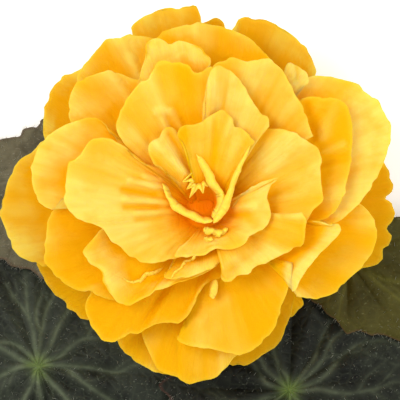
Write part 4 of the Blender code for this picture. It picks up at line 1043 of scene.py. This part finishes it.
def grow_vein(start, heading, length, width, generation, rng):
    """A wandering vein and its branches, each a list of places with their half widths, in mm."""
    steps = max(4, round(length / 1.5))
    place, line, others = np.array(start, float), [], []
    side = rng.choice((-1, 1))
    for step in range(steps + 1):
        share = step / steps
        line.append((place[0], place[1], width * (1 - 0.7 * share)))
        heading += math.radians(rng.gauss(0, VEIN_WANDER))
        place = place + length / steps * np.array([math.cos(heading), math.sin(heading)])
        if generation < 3 and 0.2 < share < 0.85 and rng.random() < 0.3:
            side = -side
            others += grow_vein(place, heading + side * math.radians(rng.uniform(28, 50)),
                                length * (1 - share) * rng.uniform(0.4, 0.75), width * (1 - 0.7 * share) * 0.7,
                                generation + 1, rng)
    return [line] + others


def vein_field(leaf, points):
    """How much of each place is vein, from 0 between the veins to 1 on the widest."""
    rng = random.Random(leaf.name + " veins")
    hub = np.array(leaf.hub[:2])
    lines = []
    drawn = DRAWN_VEINS.get(leaf.name, [])
    for line in drawn:
        route = curve_through(line, 6 * (len(line) - 1))
        away = np.linalg.norm(route - hub, axis=1)
        lines.append([(x, y, max(VEIN_WIDTHS[1], VEIN_WIDTHS[0] * (1 - 0.018 * far)))
                      for (x, y), far in zip(route, away)])
        for _ in range(1 + len(line) // 3):
            spot = rng.randrange(len(route) // 4, len(route) - 1)
            ahead = route[spot + 1] - route[spot]
            heading = math.atan2(ahead[1], ahead[0]) + rng.choice((-1, 1)) * math.radians(rng.uniform(30, 55))
            lines += grow_vein(route[spot], heading, rng.uniform(4, 9), 0.26, 2, rng)
    headings = [math.degrees(math.atan2(line[2][1] - hub[1], line[2][0] - hub[0])) for line in drawn]
    for azimuth, length, _ in leaf.veins:
        if all(abs((azimuth - other + 180) % 360 - 180) > VEIN_CLEARANCE for other in headings):
            lines += grow_vein(hub, math.radians(azimuth), length * 0.97, VEIN_WIDTHS[0], 0, rng)
    best = np.zeros(len(points))
    for line in lines:
        route = curve_through(line, 4 * (len(line) - 1))
        box = np.abs(points[:, :2] - (route[:, :2].min(0) + route[:, :2].max(0)) / 2 * MM) \
            < ((route[:, :2].max(0) - route[:, :2].min(0)) / 2 + 4) * MM
        near = np.flatnonzero(box.all(axis=1))
        gaps = np.linalg.norm(points[near, None, :2] / MM - route[None, :, :2], axis=2)
        closest = gaps.argmin(axis=1)
        width = route[closest, 2]
        gap = gaps[np.arange(len(near)), closest]
        strength = np.clip(0.35 + 0.9 * width, 0, 1)
        value = strength * (0.62 * np.exp(-(gap / width) ** 2) + 0.38 * np.exp(-(gap / (width + 0.9)) ** 2))
        best[near] = np.maximum(best[near], value)
    return best


def blade(leaf, settings):
    """Points, faces and values of one closed leaf blade."""
    rings = settings.rings
    surface, away, spread = blade_surface(leaf, settings.spokes, rings)
    spokes = surface.shape[1]
    middle = np.concatenate([[np.array(leaf.hub) * MM], surface.reshape(-1, 3)])
    veins = vein_field(leaf, middle)
    inside = np.broadcast_to(smooth((1 - spread) / 0.15), surface.shape[:2])
    middle[:, 2] -= VEIN_DEPTH * veins * np.concatenate([[0.0], inside.ravel()])
    count = len(middle)
    thin = np.concatenate([[1.0], np.broadcast_to(1 - 0.6 * smooth((spread - 0.9) / 0.1), surface.shape[:2]).ravel()])
    half = np.zeros((count, 3))
    half[:, 2] = settings.thickness / 2 * thin
    points = np.concatenate([middle + half, middle - half])
    faces = []
    for spoke in range(spokes):
        following = (spoke + 1) % spokes
        faces.append((0, 1 + spoke, 1 + following))
        faces.append((count, count + 1 + following, count + 1 + spoke))
        for ring in range(rings - 1):
            near = 1 + ring * spokes
            far = near + spokes
            quad = (near + spoke, far + spoke, far + following, near + following)
            faces.append(quad)
            faces.append(tuple(corner + count for corner in reversed(quad)))
        rim = 1 + (rings - 1) * spokes
        faces.append((rim + spoke, rim + spoke + count, rim + following + count, rim + following))
    values = {
        "away": np.tile(np.concatenate([[0.0], away.ravel()]), 2),
        "edge": np.tile(np.concatenate([[0.0], np.broadcast_to(spread, surface.shape[:2]).ravel()]), 2),
        "underside": np.concatenate([np.zeros(count), np.ones(count)]),
        "vein": np.tile(veins, 2),
    }
    return points, faces, values


def petiole_foot(leaf):
    """Where the stub leaves the stem's middle and where it ends."""
    foot, end = [Vector(point) * MM for point in leaf.petiole[:2]]
    return foot, foot + (end - foot).normalized() * STUB_LENGTH


def petiole(leaf):
    """Points and faces of a leaf's stalk, from just beyond its stub to below the leaf's hub."""
    foot, stub_end = petiole_foot(leaf)
    ahead = (stub_end - foot).normalized()
    start = stub_end + ahead * GAP
    route = [start, start + ahead * 2 * PETIOLE_RADIUS] + [Vector(point) * MM for point in leaf.petiole[2:]]
    route[-1] = route[-1] - Vector((0, 0, PETIOLE_DROP))
    radii = [PETIOLE_RADIUS] * (len(route) - 1) + [PETIOLE_RADIUS * 0.7]
    return tube(route, radii, 20, 60, seed=len(leaf.veins), rough=0.03)[:2]


def leaf_finish(name, under, vein, hub, patch, speckle):
    """Begonia leaf: thick, dull-satin and dark, quilted between veins that are paler and softly feathered."""
    material, tree = new_material(name)
    vein_share, away, edge = attributes(tree, "vein", "away", "edge")
    place = add(tree, "ShaderNodeTexCoord").outputs["Object"]

    # Veins are soft and patchy. The finest make a faint net of 2.5 mm meshes, coarser than in life so that
    # it shows.
    patchy = add(tree, "ShaderNodeTexNoise", {"Vector": place, "Scale": 260.0, "Detail": 3.0}).outputs[0]
    patchy = add(tree, "ShaderNodeMapRange", {"Value": patchy, 1: 0.3, 2: 0.65, 3: 0.45, 4: 1.0}).outputs[0]
    main = add(tree, "ShaderNodeMath", {0: vein_share, 1: patchy}, operation="MULTIPLY").outputs[0]
    net = add(tree, "ShaderNodeTexVoronoi", {"Vector": place, "Scale": 380.0}, feature="DISTANCE_TO_EDGE").outputs[0]
    mesh = add(tree, "ShaderNodeMapRange", {"Value": net, 1: 0.12, 2: 0.0, 3: 0.0, 4: 0.10},
               interpolation_type="SMOOTHSTEP").outputs[0]
    light = add(tree, "ShaderNodeMath", {0: main, 1: mesh}, operation="MAXIMUM").outputs[0]
    dull = add(tree, "ShaderNodeMapRange", {"Value": away, 1: 6.0, 2: 45.0, 3: 1.0, 4: 0.6}).outputs[0]
    light = add(tree, "ShaderNodeMath", {0: light, 1: dull}, operation="MULTIPLY").outputs[0]

    # Dark patches over the blade, partly the leaf's own blackish zones and partly painted shade of its deep folds
    cloud = add(tree, "ShaderNodeTexNoise",
                {"Vector": place, "Scale": 75.0, "Detail": 5.0, "Roughness": 0.65}).outputs[0]
    dark = add(tree, "ShaderNodeMapRange", {"Value": cloud, 1: 0.44, 2: 0.62}).outputs[0]
    ground = add(tree, "ShaderNodeMix", {0: dark, 6: under, 7: patch}, data_type="RGBA").outputs[2]
    veined = add(tree, "ShaderNodeMix", {0: light, 6: ground, 7: vein}, data_type="RGBA").outputs[2]
    middle = add(tree, "ShaderNodeMapRange", {"Value": away, 1: 5.5, 2: 0.0},
                 interpolation_type="SMOOTHSTEP").outputs[0]
    green = add(tree, "ShaderNodeMath", {0: light, 1: 0.9, 2: 0.05}, operation="MULTIPLY_ADD").outputs[0]
    middle = add(tree, "ShaderNodeMath", {0: middle, 1: green}, operation="MULTIPLY", use_clamp=True).outputs[0]
    hubbed = add(tree, "ShaderNodeMix", {0: middle, 6: veined, 7: hub}, data_type="RGBA").outputs[2]
    specks = add(tree, "ShaderNodeTexNoise", {"Vector": place, "Scale": 1500.0, "Detail": 1.0}).outputs[0]
    specks = add(tree, "ShaderNodeMapRange", {"Value": specks, 1: 0.66, 2: 0.78, 3: 0.0, 4: 0.35}).outputs[0]
    colour = add(tree, "ShaderNodeMix", {0: specks, 6: hubbed, 7: speckle}, data_type="RGBA").outputs[2]
    rusty = add(tree, "ShaderNodeMapRange", {"Value": edge, 1: 0.965, 2: 1.0, 3: 0.0, 4: 0.5}).outputs[0]
    colour = add(tree, "ShaderNodeMix", {0: rusty, 6: colour, 7: hex_colour("5A3A30")}, data_type="RGBA").outputs[2]

    pillow = add(tree, "ShaderNodeMapRange", {"Value": net, 1: 0.0, 2: 0.4}, interpolation_type="SMOOTHSTEP").outputs[0]
    quilt = add(tree, "ShaderNodeBump", {"Height": pillow, "Strength": 0.7, "Distance": 0.25 * MM}).outputs[0]
    grain = add(tree, "ShaderNodeTexNoise", {"Vector": place, "Scale": 2600.0, "Detail": 2.0}).outputs[0]
    bump = add(tree, "ShaderNodeBump", {"Height": grain, "Strength": 0.3, "Distance": 0.06 * MM,
                                        "Normal": quilt}).outputs[0]
    dullness = add(tree, "ShaderNodeMapRange", {"Value": cloud, 3: 0.48, 4: 0.62}).outputs[0]
    shader = add(tree, "ShaderNodeBsdfPrincipled",
                 {"Base Color": colour, "Roughness": dullness, "IOR": 1.4, "Normal": bump,
                  "Specular IOR Level": 0.2})
    add(tree, "ShaderNodeOutputMaterial", {"Surface": shader.outputs[0]})
    return material


def stalk_finish(settings):
    """Begonia stem: juicy and satin, red-brown over green in fine lengthwise streaks, its cut end pale."""
    material, tree = new_material("juicy begonia stem")
    place = add(tree, "ShaderNodeTexCoord").outputs["Object"]
    cut, = attributes(tree, "cut")
    stretched = add(tree, "ShaderNodeMapping", {"Vector": place, "Scale": (900.0, 110.0, 900.0)}).outputs[0]
    streak = add(tree, "ShaderNodeTexNoise", {"Vector": stretched, "Scale": 1.0, "Detail": 3.0}).outputs[0]
    cloud = add(tree, "ShaderNodeTexNoise", {"Vector": place, "Scale": 60.0, "Detail": 3.0}).outputs[0]
    mixed = add(tree, "ShaderNodeMath", {0: streak, 1: cloud}, operation="MULTIPLY").outputs[0]
    share = add(tree, "ShaderNodeMapRange", {"Value": mixed, 1: 0.16, 2: 0.36}).outputs[0]
    skin = add(tree, "ShaderNodeMix", {0: share, 6: settings.green_colour, 7: settings.red_colour},
               data_type="RGBA").outputs[2]
    dots = add(tree, "ShaderNodeTexVoronoi", {"Vector": place, "Scale": 700.0}).outputs[0]
    dots = add(tree, "ShaderNodeMapRange", {"Value": dots, 1: 0.22, 2: 0.1, 3: 0.0, 4: 0.5}).outputs[0]
    skin = add(tree, "ShaderNodeMix", {0: dots, 6: skin, 7: settings.fleck_colour}, data_type="RGBA").outputs[2]
    flesh = add(tree, "ShaderNodeMix", {0: streak, 6: hex_colour("B9BE7A"), 7: hex_colour("8E9A52")},
                data_type="RGBA").outputs[2]
    colour = add(tree, "ShaderNodeMix", {0: cut, 6: skin, 7: flesh}, data_type="RGBA").outputs[2]
    bump = add(tree, "ShaderNodeBump", {"Height": streak, "Strength": 0.4, "Distance": 0.12 * MM}).outputs[0]
    shader = add(tree, "ShaderNodeBsdfPrincipled",
                 {"Base Color": colour, "Roughness": 0.42, "IOR": 1.4, "Normal": bump,
                  "Subsurface Weight": 0.15, "Subsurface Radius": (0.8, 0.5, 0.2), "Subsurface Scale": 1.0 * MM})
    add(tree, "ShaderNodeOutputMaterial", {"Surface": shader.outputs[0]})
    return material


def hair_finish():
    """Soft glassy plant hair: pale grey-green and a little shiny."""
    material, tree = new_material("pale plant hair")
    place = add(tree, "ShaderNodeTexCoord").outputs["Object"]
    cloud = add(tree, "ShaderNodeTexNoise", {"Vector": place, "Scale": 400.0}).outputs[0]
    colour = add(tree, "ShaderNodeMix", {0: cloud, 6: hex_colour("7C8276"), 7: hex_colour("B7B8AC")},
                 data_type="RGBA").outputs[2]
    shader = add(tree, "ShaderNodeBsdfPrincipled", {"Base Color": colour, "Roughness": 0.4})
    add(tree, "ShaderNodeOutputMaterial", {"Surface": shader.outputs[0]})
    return material


def hair_tree():
    """Geometry nodes that stand fine tapering hairs on a surface where its down value says so."""
    tree = bpy.data.node_groups.new("Plant hairs", "GeometryNodeTree")
    sockets = tree.interface
    sockets.new_socket("Geometry", in_out="INPUT", socket_type="NodeSocketGeometry")
    for name, kind, default in (("Density", "NodeSocketFloat", 1.0e5), ("Hair Length", "NodeSocketFloat", 1.2 * MM),
                                ("Hair Radius", "NodeSocketFloat", 0.05 * MM), ("Tilt", "NodeSocketFloat", 0.6),
                                ("Seed", "NodeSocketInt", 1), ("Material", "NodeSocketMaterial", None)):
        socket = sockets.new_socket(name, in_out="INPUT", socket_type=kind)
        if default is not None:
            socket.default_value = default
    sockets.new_socket("Geometry", in_out="OUTPUT", socket_type="NodeSocketGeometry")
    given = add(tree, "NodeGroupInput").outputs
    down = add(tree, "GeometryNodeInputNamedAttribute", {"Name": "down"}, data_type="FLOAT").outputs[0]
    density = add(tree, "ShaderNodeMath", {0: down, 1: given["Density"]}, operation="MULTIPLY").outputs[0]
    spots = add(tree, "GeometryNodeDistributePointsOnFaces",
                {"Mesh": given["Geometry"], "Density": density, "Seed": given["Seed"]}).outputs
    hair = add(tree, "GeometryNodeMeshCone",
               {"Vertices": 4, "Side Segments": 2, "Radius Top": 0.008 * MM, "Radius Bottom": given["Hair Radius"],
                "Depth": given["Hair Length"]}, fill_type="NGON").outputs[0]
    back = add(tree, "ShaderNodeMath", {0: given["Tilt"], 1: -1.0}, operation="MULTIPLY").outputs[0]
    lowest = add(tree, "ShaderNodeCombineXYZ", {0: back, 1: back, 2: -3.1}).outputs[0]
    highest = add(tree, "ShaderNodeCombineXYZ", {0: given["Tilt"], 1: given["Tilt"], 2: 3.1}).outputs[0]
    lean = add(tree, "FunctionNodeRandomValue", {0: lowest, 1: highest, "Seed": given["Seed"]},
               data_type="FLOAT_VECTOR").outputs[0]
    turned = add(tree, "FunctionNodeRotateRotation", {"Rotation": spots["Rotation"], "Rotate By": lean},
                 rotation_space="LOCAL").outputs[0]
    size = add(tree, "FunctionNodeRandomValue", {2: 0.55, 3: 1.15, "Seed": given["Seed"]}, data_type="FLOAT").outputs[1]
    hairs = add(tree, "GeometryNodeInstanceOnPoints",
                {"Points": spots["Points"], "Instance": hair, "Rotation": turned, "Scale": size}).outputs[0]
    whole = add(tree, "GeometryNodeRealizeInstances", {"Geometry": hairs}).outputs[0]
    dressed = add(tree, "GeometryNodeSetMaterial", {"Geometry": whole, "Material": given["Material"]}).outputs[0]
    add(tree, "NodeGroupOutput", {0: dressed})
    return tree


def grow_hairs(name, body, tree, material, **sizes):
    """Hairs on a body as a plain mesh of their own."""
    modifier = body.modifiers.new("hairs", "NODES")
    modifier.node_group = tree
    known = {item.name: item.identifier for item in tree.interface.items_tree if item.in_out == "INPUT"}
    modifier[known["Material"]] = material
    for key, value in sizes.items():
        modifier[known[key.replace("_", " ").title()]] = value
    view = bpy.context.evaluated_depsgraph_get()
    mesh = bpy.data.meshes.new_from_object(body.evaluated_get(view), preserve_all_data_layers=True, depsgraph=view)
    body.modifiers.remove(modifier)
    mesh.name = name
    mesh.shade_smooth()

    # Hairs that reach the surface lie along it
    places = np.zeros(len(mesh.vertices) * 3, np.float32)
    mesh.vertices.foreach_get("co", places)
    places[2::3] = np.maximum(places[2::3], 0.02 * MM)
    mesh.vertices.foreach_set("co", places)
    thing = bpy.data.objects.new(name, mesh)
    bpy.context.scene.collection.objects.link(thing)
    return thing


def settle(thing, slot, *nodes):
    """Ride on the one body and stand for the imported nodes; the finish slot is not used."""
    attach(thing, "root")
    if nodes:
        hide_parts(*nodes)


def length_setting(name, description, default):
    """A small length among the settings."""
    return FloatProperty(name=name, description=description, default=default, unit="LENGTH", precision=5)


def colour_setting(name, description, code):
    """A colour among the settings, from its sRGB hex code."""
    return FloatVectorProperty(name=name, description=description, subtype="COLOR", size=4, default=hex_colour(code))


class PetalSettings(PropertyGroup):
    rows: IntProperty(name="Rows", description="Faces along each petal", default=38, min=8, max=80)
    spacing: length_setting("Spacing", "Width of the faces along a petal's margin", 0.9 * MM)
    thickness: length_setting("Thickness", "Thickness of a petal's blade", 0.55 * MM)
    ruffle: length_setting("Ruffle", "Height of the ruffles at a petal's margin", 0.9 * MM)
    blade_colour: colour_setting("Blade", "Colour of the outer petals", "F1B206")
    pale_colour: colour_setting("Pale", "Colour of the inner petals and margins", "F0D66E")
    claw_colour: colour_setting("Claw", "Colour of the petals' narrow ends", "EDAA00")
    vein_colour: colour_setting("Veins", "Colour of the fine veins", "ECAC00")
    dull_colour: colour_setting("Dull", "Tint of the faded and shaded petals", "DCDCAA")
    rim_colour: colour_setting("Rim", "Colour of the margins and the petaloids' rims", "F5D655")
    throat_colour: colour_setting("Throat", "Colour deep in the heart", "E27800")


class LeafSettings(PropertyGroup):
    rings: IntProperty(name="Rings", description="Faces from a leaf's hub to its margin", default=70, min=8, max=120)
    spokes: IntProperty(name="Spokes", description="Faces from one main vein to the next", default=24, min=4, max=40)
    thickness: length_setting("Thickness", "Thickness of a leaf's blade", BLADE_THICKNESS)
    hair_length: length_setting("Hair length", "Length of the hairs on leaves and stem", 1.3 * MM)
    blade_colour: colour_setting("Blade", "Colour of the dark leaves", "272C25")
    vein_colour: colour_setting("Veins", "Colour of the leaves' veins", "606A54")
    hub_colour: colour_setting("Hub", "Colour where a leaf's veins meet", "647A36")


class StemSettings(PropertyGroup):
    green_colour: colour_setting("Green", "Green of the stem's skin", "7A7B3A")
    red_colour: colour_setting("Red", "Red-brown of the stem's skin", "7E4030")
    fleck_colour: colour_setting("Flecks", "Pale flecks on the stem's skin", "A9A070")


class StageSettings(PropertyGroup):
    camera_height: FloatProperty(name="Camera height", description="Height of the camera above the floor",
                                 default=1.2, unit="LENGTH")
    view_width: FloatProperty(name="View width", description="Width of the view at the bloom's middle",
                              default=101 * MM, unit="LENGTH", precision=4)
    key_power: FloatProperty(name="Key light", description="Power of the soft light from the upper left",
                             default=4.0, unit="POWER")
    fill_power: FloatProperty(name="Fill light", description="Power of the fill light from the right",
                              default=2.8, unit="POWER")
    floor_colour: colour_setting("Floor", "Colour of the floor", "F6F5F2")


class BEGONIA_OT_petals(Operator):
    """Build the bloom's petals in four layers and the petaloids of its heart"""
    bl_idname = "begonia.petals"
    bl_label = "Petals"

    def execute(self, context):
        settings = context.scene.begonia_petals
        finish = petal_finish(settings)
        surfaces, heights = stacked(settings)
        for name, orders in (("heart_petals", HEART_PETALS), ("inner_petals", INNER_PETALS),
                             ("middle_petals", MIDDLE_PETALS), ("outer_petals", OUTER_PETALS)):
            settle(petal_group(name, orders, surfaces, heights, settings, finish), "petals", "bloom")
        settle(heart(heights, finish), "petals", "bloom")
        return {"FINISHED"}


class BEGONIA_OT_receptacle(Operator):
    """Build the fleshy receptacle that the petals grow from"""
    bl_idname = "begonia.receptacle"
    bl_label = "Receptacle"

    def execute(self, context):
        sides = RECEPTACLE_SIDES
        points, faces = [], []
        for radius, height in RECEPTACLE_PROFILE:
            radius = max(radius, 0.01) * MM
            for side in range(sides):
                angle = 2 * math.pi * side / sides
                points.append((radius * math.cos(angle), radius * math.sin(angle), BLOOM_HEIGHT + height * MM))
        for ring in range(len(RECEPTACLE_PROFILE) - 1):
            for side in range(sides):
                here = ring * sides + side
                there = ring * sides + (side + 1) % sides
                faces.append((here, there, there + sides, here + sides))
        faces.append(tuple(reversed(range(sides))))
        faces.append(tuple(range(len(points) - sides, len(points))))
        thing = build("receptacle", points, faces, stalk_finish(context.scene.begonia_stem),
                      {"cut": np.zeros(len(points))})
        settle(thing, "stem", "bloom")
        return {"FINISHED"}


class BEGONIA_OT_leaves(Operator):
    """Build the four leaves, their stalks and their hairs"""
    bl_idname = "begonia.leaves"
    bl_label = "Leaves"

    def execute(self, context):
        settings = context.scene.begonia_leaves
        finishes = {
            "leaf_1": leaf_finish("dark begonia leaf", settings.blade_colour, settings.vein_colour,
                                  settings.hub_colour, hex_colour("0B0D0B"), hex_colour("7A8272")),
            # The grey hairy leaf is partly its own grey and partly painted sheen of its hairs
            "leaf_2": leaf_finish("grey hairy begonia leaf", hex_colour("66624E"), hex_colour("86826C"),
                                  hex_colour("7C8440"), hex_colour("464233"), hex_colour("A5A090")),
            "leaf_3": leaf_finish("darkest begonia leaf", hex_colour("191C16"), hex_colour("525A46"),
                                  settings.hub_colour, hex_colour("0C0E0B"), hex_colour("6A7264")),
            "leaf_4": leaf_finish("olive begonia leaf", hex_colour("444015"), hex_colour("646228"),
                                  hex_colour("7C8440"), hex_colour("38340E"), hex_colour("8A8A5C")),
        }
        stalk = stalk_finish(context.scene.begonia_stem)
        hair = hair_finish()
        tree = hair_tree()
        for index, leaf in enumerate(LEAVES):
            points, faces, values = blade(leaf, settings)
            # Hairs stand thickest along the margin, fewer on the faces and fewest beneath
            hairy = HAIRINESS.get(leaf.name, 1.0)
            values["down"] = hairy * (np.where(values["edge"] > 0.985, MARGIN_HAIRS, BLADE_HAIRS)
                                      * (1 - BARE_UNDERSIDE * values["underside"]))
            thing = build(leaf.name + "_blade", points, faces, finishes[leaf.name], values)
            hairs = grow_hairs(leaf.name + "_hairs", thing, tree, hair, density=LEAF_HAIRS,
                               hair_length=settings.hair_length, seed=7 + index)
            points, faces = petiole(leaf)
            stem = build(leaf.name + "_stalk", points, faces, stalk,
                         {"cut": np.zeros(len(points)), "down": np.ones(len(points))})
            fuzz = grow_hairs(leaf.name + "_stalk_hairs", stem, tree, hair, density=STALK_HAIRS,
                              hair_length=settings.hair_length, seed=17 + index)
            slot = "olive_leaf" if leaf.name == "leaf_4" else "dark_leaf"
            for piece, finish in ((thing, slot), (hairs, slot), (stem, "stem"), (fuzz, "stem")):
                settle(piece, finish, leaf.name)
        return {"FINISHED"}


class BEGONIA_OT_stem(Operator):
    """Build the cut stem, the flower's stalk and the leaf stubs"""
    bl_idname = "begonia.stem"
    bl_label = "Stem"

    def execute(self, context):
        route = [(x * MM, y * MM, STEM_SINK * radius * MM) for (x, y), radius in zip(STEM_ROUTE, STEM_RADII)]
        parts = [tube(route, in_metres(STEM_RADII), 36, 150, seed=3, rough=0.012),
                 tube(in_metres(STALK_ROUTE), in_metres(STALK_RADII), 20, 50, seed=5, rough=0.01)]
        parts += [tube(petiole_foot(leaf), in_metres(STUB_RADII), 20, 12, seed=9, rough=0.01) for leaf in LEAVES]
        points, faces, cut = joined(parts)
        points[:, 2] = np.maximum(points[:, 2], 0)
        thing = build("stem_skin", points, faces, stalk_finish(context.scene.begonia_stem),
                      {"cut": cut, "down": np.where(points[:, 2] > 1 * MM, 1.0, 0.0)})
        fuzz = grow_hairs("stem_hairs", thing, hair_tree(), hair_finish(), density=STEM_HAIRS,
                          hair_length=context.scene.begonia_leaves.hair_length * 0.8, seed=31)
        settle(thing, "stem", "stem")
        settle(fuzz, "stem", "stem")
        return {"FINISHED"}


class BEGONIA_OT_stage(Operator):
    """Set the floor, the soft lights and the camera that looks straight down"""
    bl_idname = "begonia.stage"
    bl_label = "Studio"

    def execute(self, context):
        settings = context.scene.begonia_stage
        scene = context.scene
        # Matt board: even, bright and without shine
        material, tree = new_material("matt white studio board")
        place = add(tree, "ShaderNodeTexCoord").outputs["Object"]
        cloud = add(tree, "ShaderNodeTexNoise", {"Vector": place, "Scale": 3.0}).outputs[0]
        colour = add(tree, "ShaderNodeMix", {0: cloud, 6: settings.floor_colour, 7: hex_colour("F2F1EE")},
                     data_type="RGBA").outputs[2]
        shader = add(tree, "ShaderNodeBsdfPrincipled",
                     {"Base Color": colour, "Roughness": 0.9, "Specular IOR Level": 0.1,
                      "Emission Color": hex_colour("FFFFFF"), "Emission Strength": FLOOR_GLOW})
        add(tree, "ShaderNodeOutputMaterial", {"Surface": shader.outputs[0]})
        half = FLOOR_HALF
        floor = build("floor", [(-half, -half, 0), (half, -half, 0), (half, half, 0), (-half, half, 0)],
                      [(0, 1, 2, 3)], material)

        # A warm key light from the upper left and a wide, cooler fill light from the right
        for name, place, size, power, colour in (
                ("key light", (-0.42, 0.18, 0.80), 0.40, settings.key_power, hex_colour("FFFCF5")),
                ("fill light", (0.60, -0.20, 0.70), 0.8, settings.fill_power, hex_colour("F8FAFF"))):
            light = bpy.data.lights.new(name, "AREA")
            light.size = size
            light.energy = power
            light.color = colour[:3]
            lamp = bpy.data.objects.new(name, light)
            lamp.location = place
            lamp.rotation_euler = (-Vector(place)).to_track_quat("-Z", "Y").to_euler()
            scene.collection.objects.link(lamp)
        world = bpy.data.worlds.new("soft studio")
        world.use_nodes = True
        sky = world.node_tree.nodes["Background"].inputs
        sky["Color"].default_value = hex_colour("FFFAF0")
        sky["Strength"].default_value = WORLD_LIGHT
        scene.world = world
        scene.view_settings.view_transform = "Standard"

        camera = bpy.data.objects.new("camera", bpy.data.cameras.new("camera"))
        camera.data.angle = 2 * math.atan(settings.view_width / 2 / (settings.camera_height - VIEW_LEVEL))
        camera.location = (*VIEW_CENTRE, settings.camera_height)
        camera.data.clip_start = 0.05
        scene.collection.objects.link(camera)
        scene.camera = camera
        return {"FINISHED"}


class BEGONIA_PT_panel(Panel):
    """Panel that lists the pieces of the bloom"""
    bl_idname = "BEGONIA_PT_panel"
    bl_label = "Picked begonia bloom"
    bl_space_type = "VIEW_3D"
    bl_region_type = "UI"
    bl_category = "Begonia"

    def draw(self, context):
        for settings, steps in ((context.scene.begonia_petals, (BEGONIA_OT_petals, BEGONIA_OT_receptacle)),
                                (context.scene.begonia_leaves, (BEGONIA_OT_leaves,)),
                                (context.scene.begonia_stem, (BEGONIA_OT_stem,)),
                                (context.scene.begonia_stage, (BEGONIA_OT_stage,))):
            box = self.layout.box()
            for name in settings.__annotations__:
                box.prop(settings, name)
            for step in steps:
                box.operator(step.bl_idname)


CLASSES = (PetalSettings, LeafSettings, StemSettings, StageSettings, BEGONIA_OT_petals, BEGONIA_OT_receptacle,
           BEGONIA_OT_leaves, BEGONIA_OT_stem, BEGONIA_OT_stage, BEGONIA_PT_panel)


def register():
    """Add the settings, the operators and the panel."""
    for each in CLASSES:
        bpy.utils.register_class(each)
    bpy.types.Scene.begonia_petals = PointerProperty(type=PetalSettings)
    bpy.types.Scene.begonia_leaves = PointerProperty(type=LeafSettings)
    bpy.types.Scene.begonia_stem = PointerProperty(type=StemSettings)
    bpy.types.Scene.begonia_stage = PointerProperty(type=StageSettings)


def unregister():
    """Take them away again."""
    del bpy.types.Scene.begonia_stage
    del bpy.types.Scene.begonia_stem
    del bpy.types.Scene.begonia_leaves
    del bpy.types.Scene.begonia_petals
    for each in reversed(CLASSES):
        bpy.utils.unregister_class(each)


def main():
    """Build all of it."""
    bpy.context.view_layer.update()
    register()
    bpy.ops.begonia.stage()
    bpy.ops.begonia.petals()
    bpy.ops.begonia.receptacle()
    bpy.ops.begonia.leaves()
    bpy.ops.begonia.stem()
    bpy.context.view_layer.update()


if __name__ == "__main__":
    main()
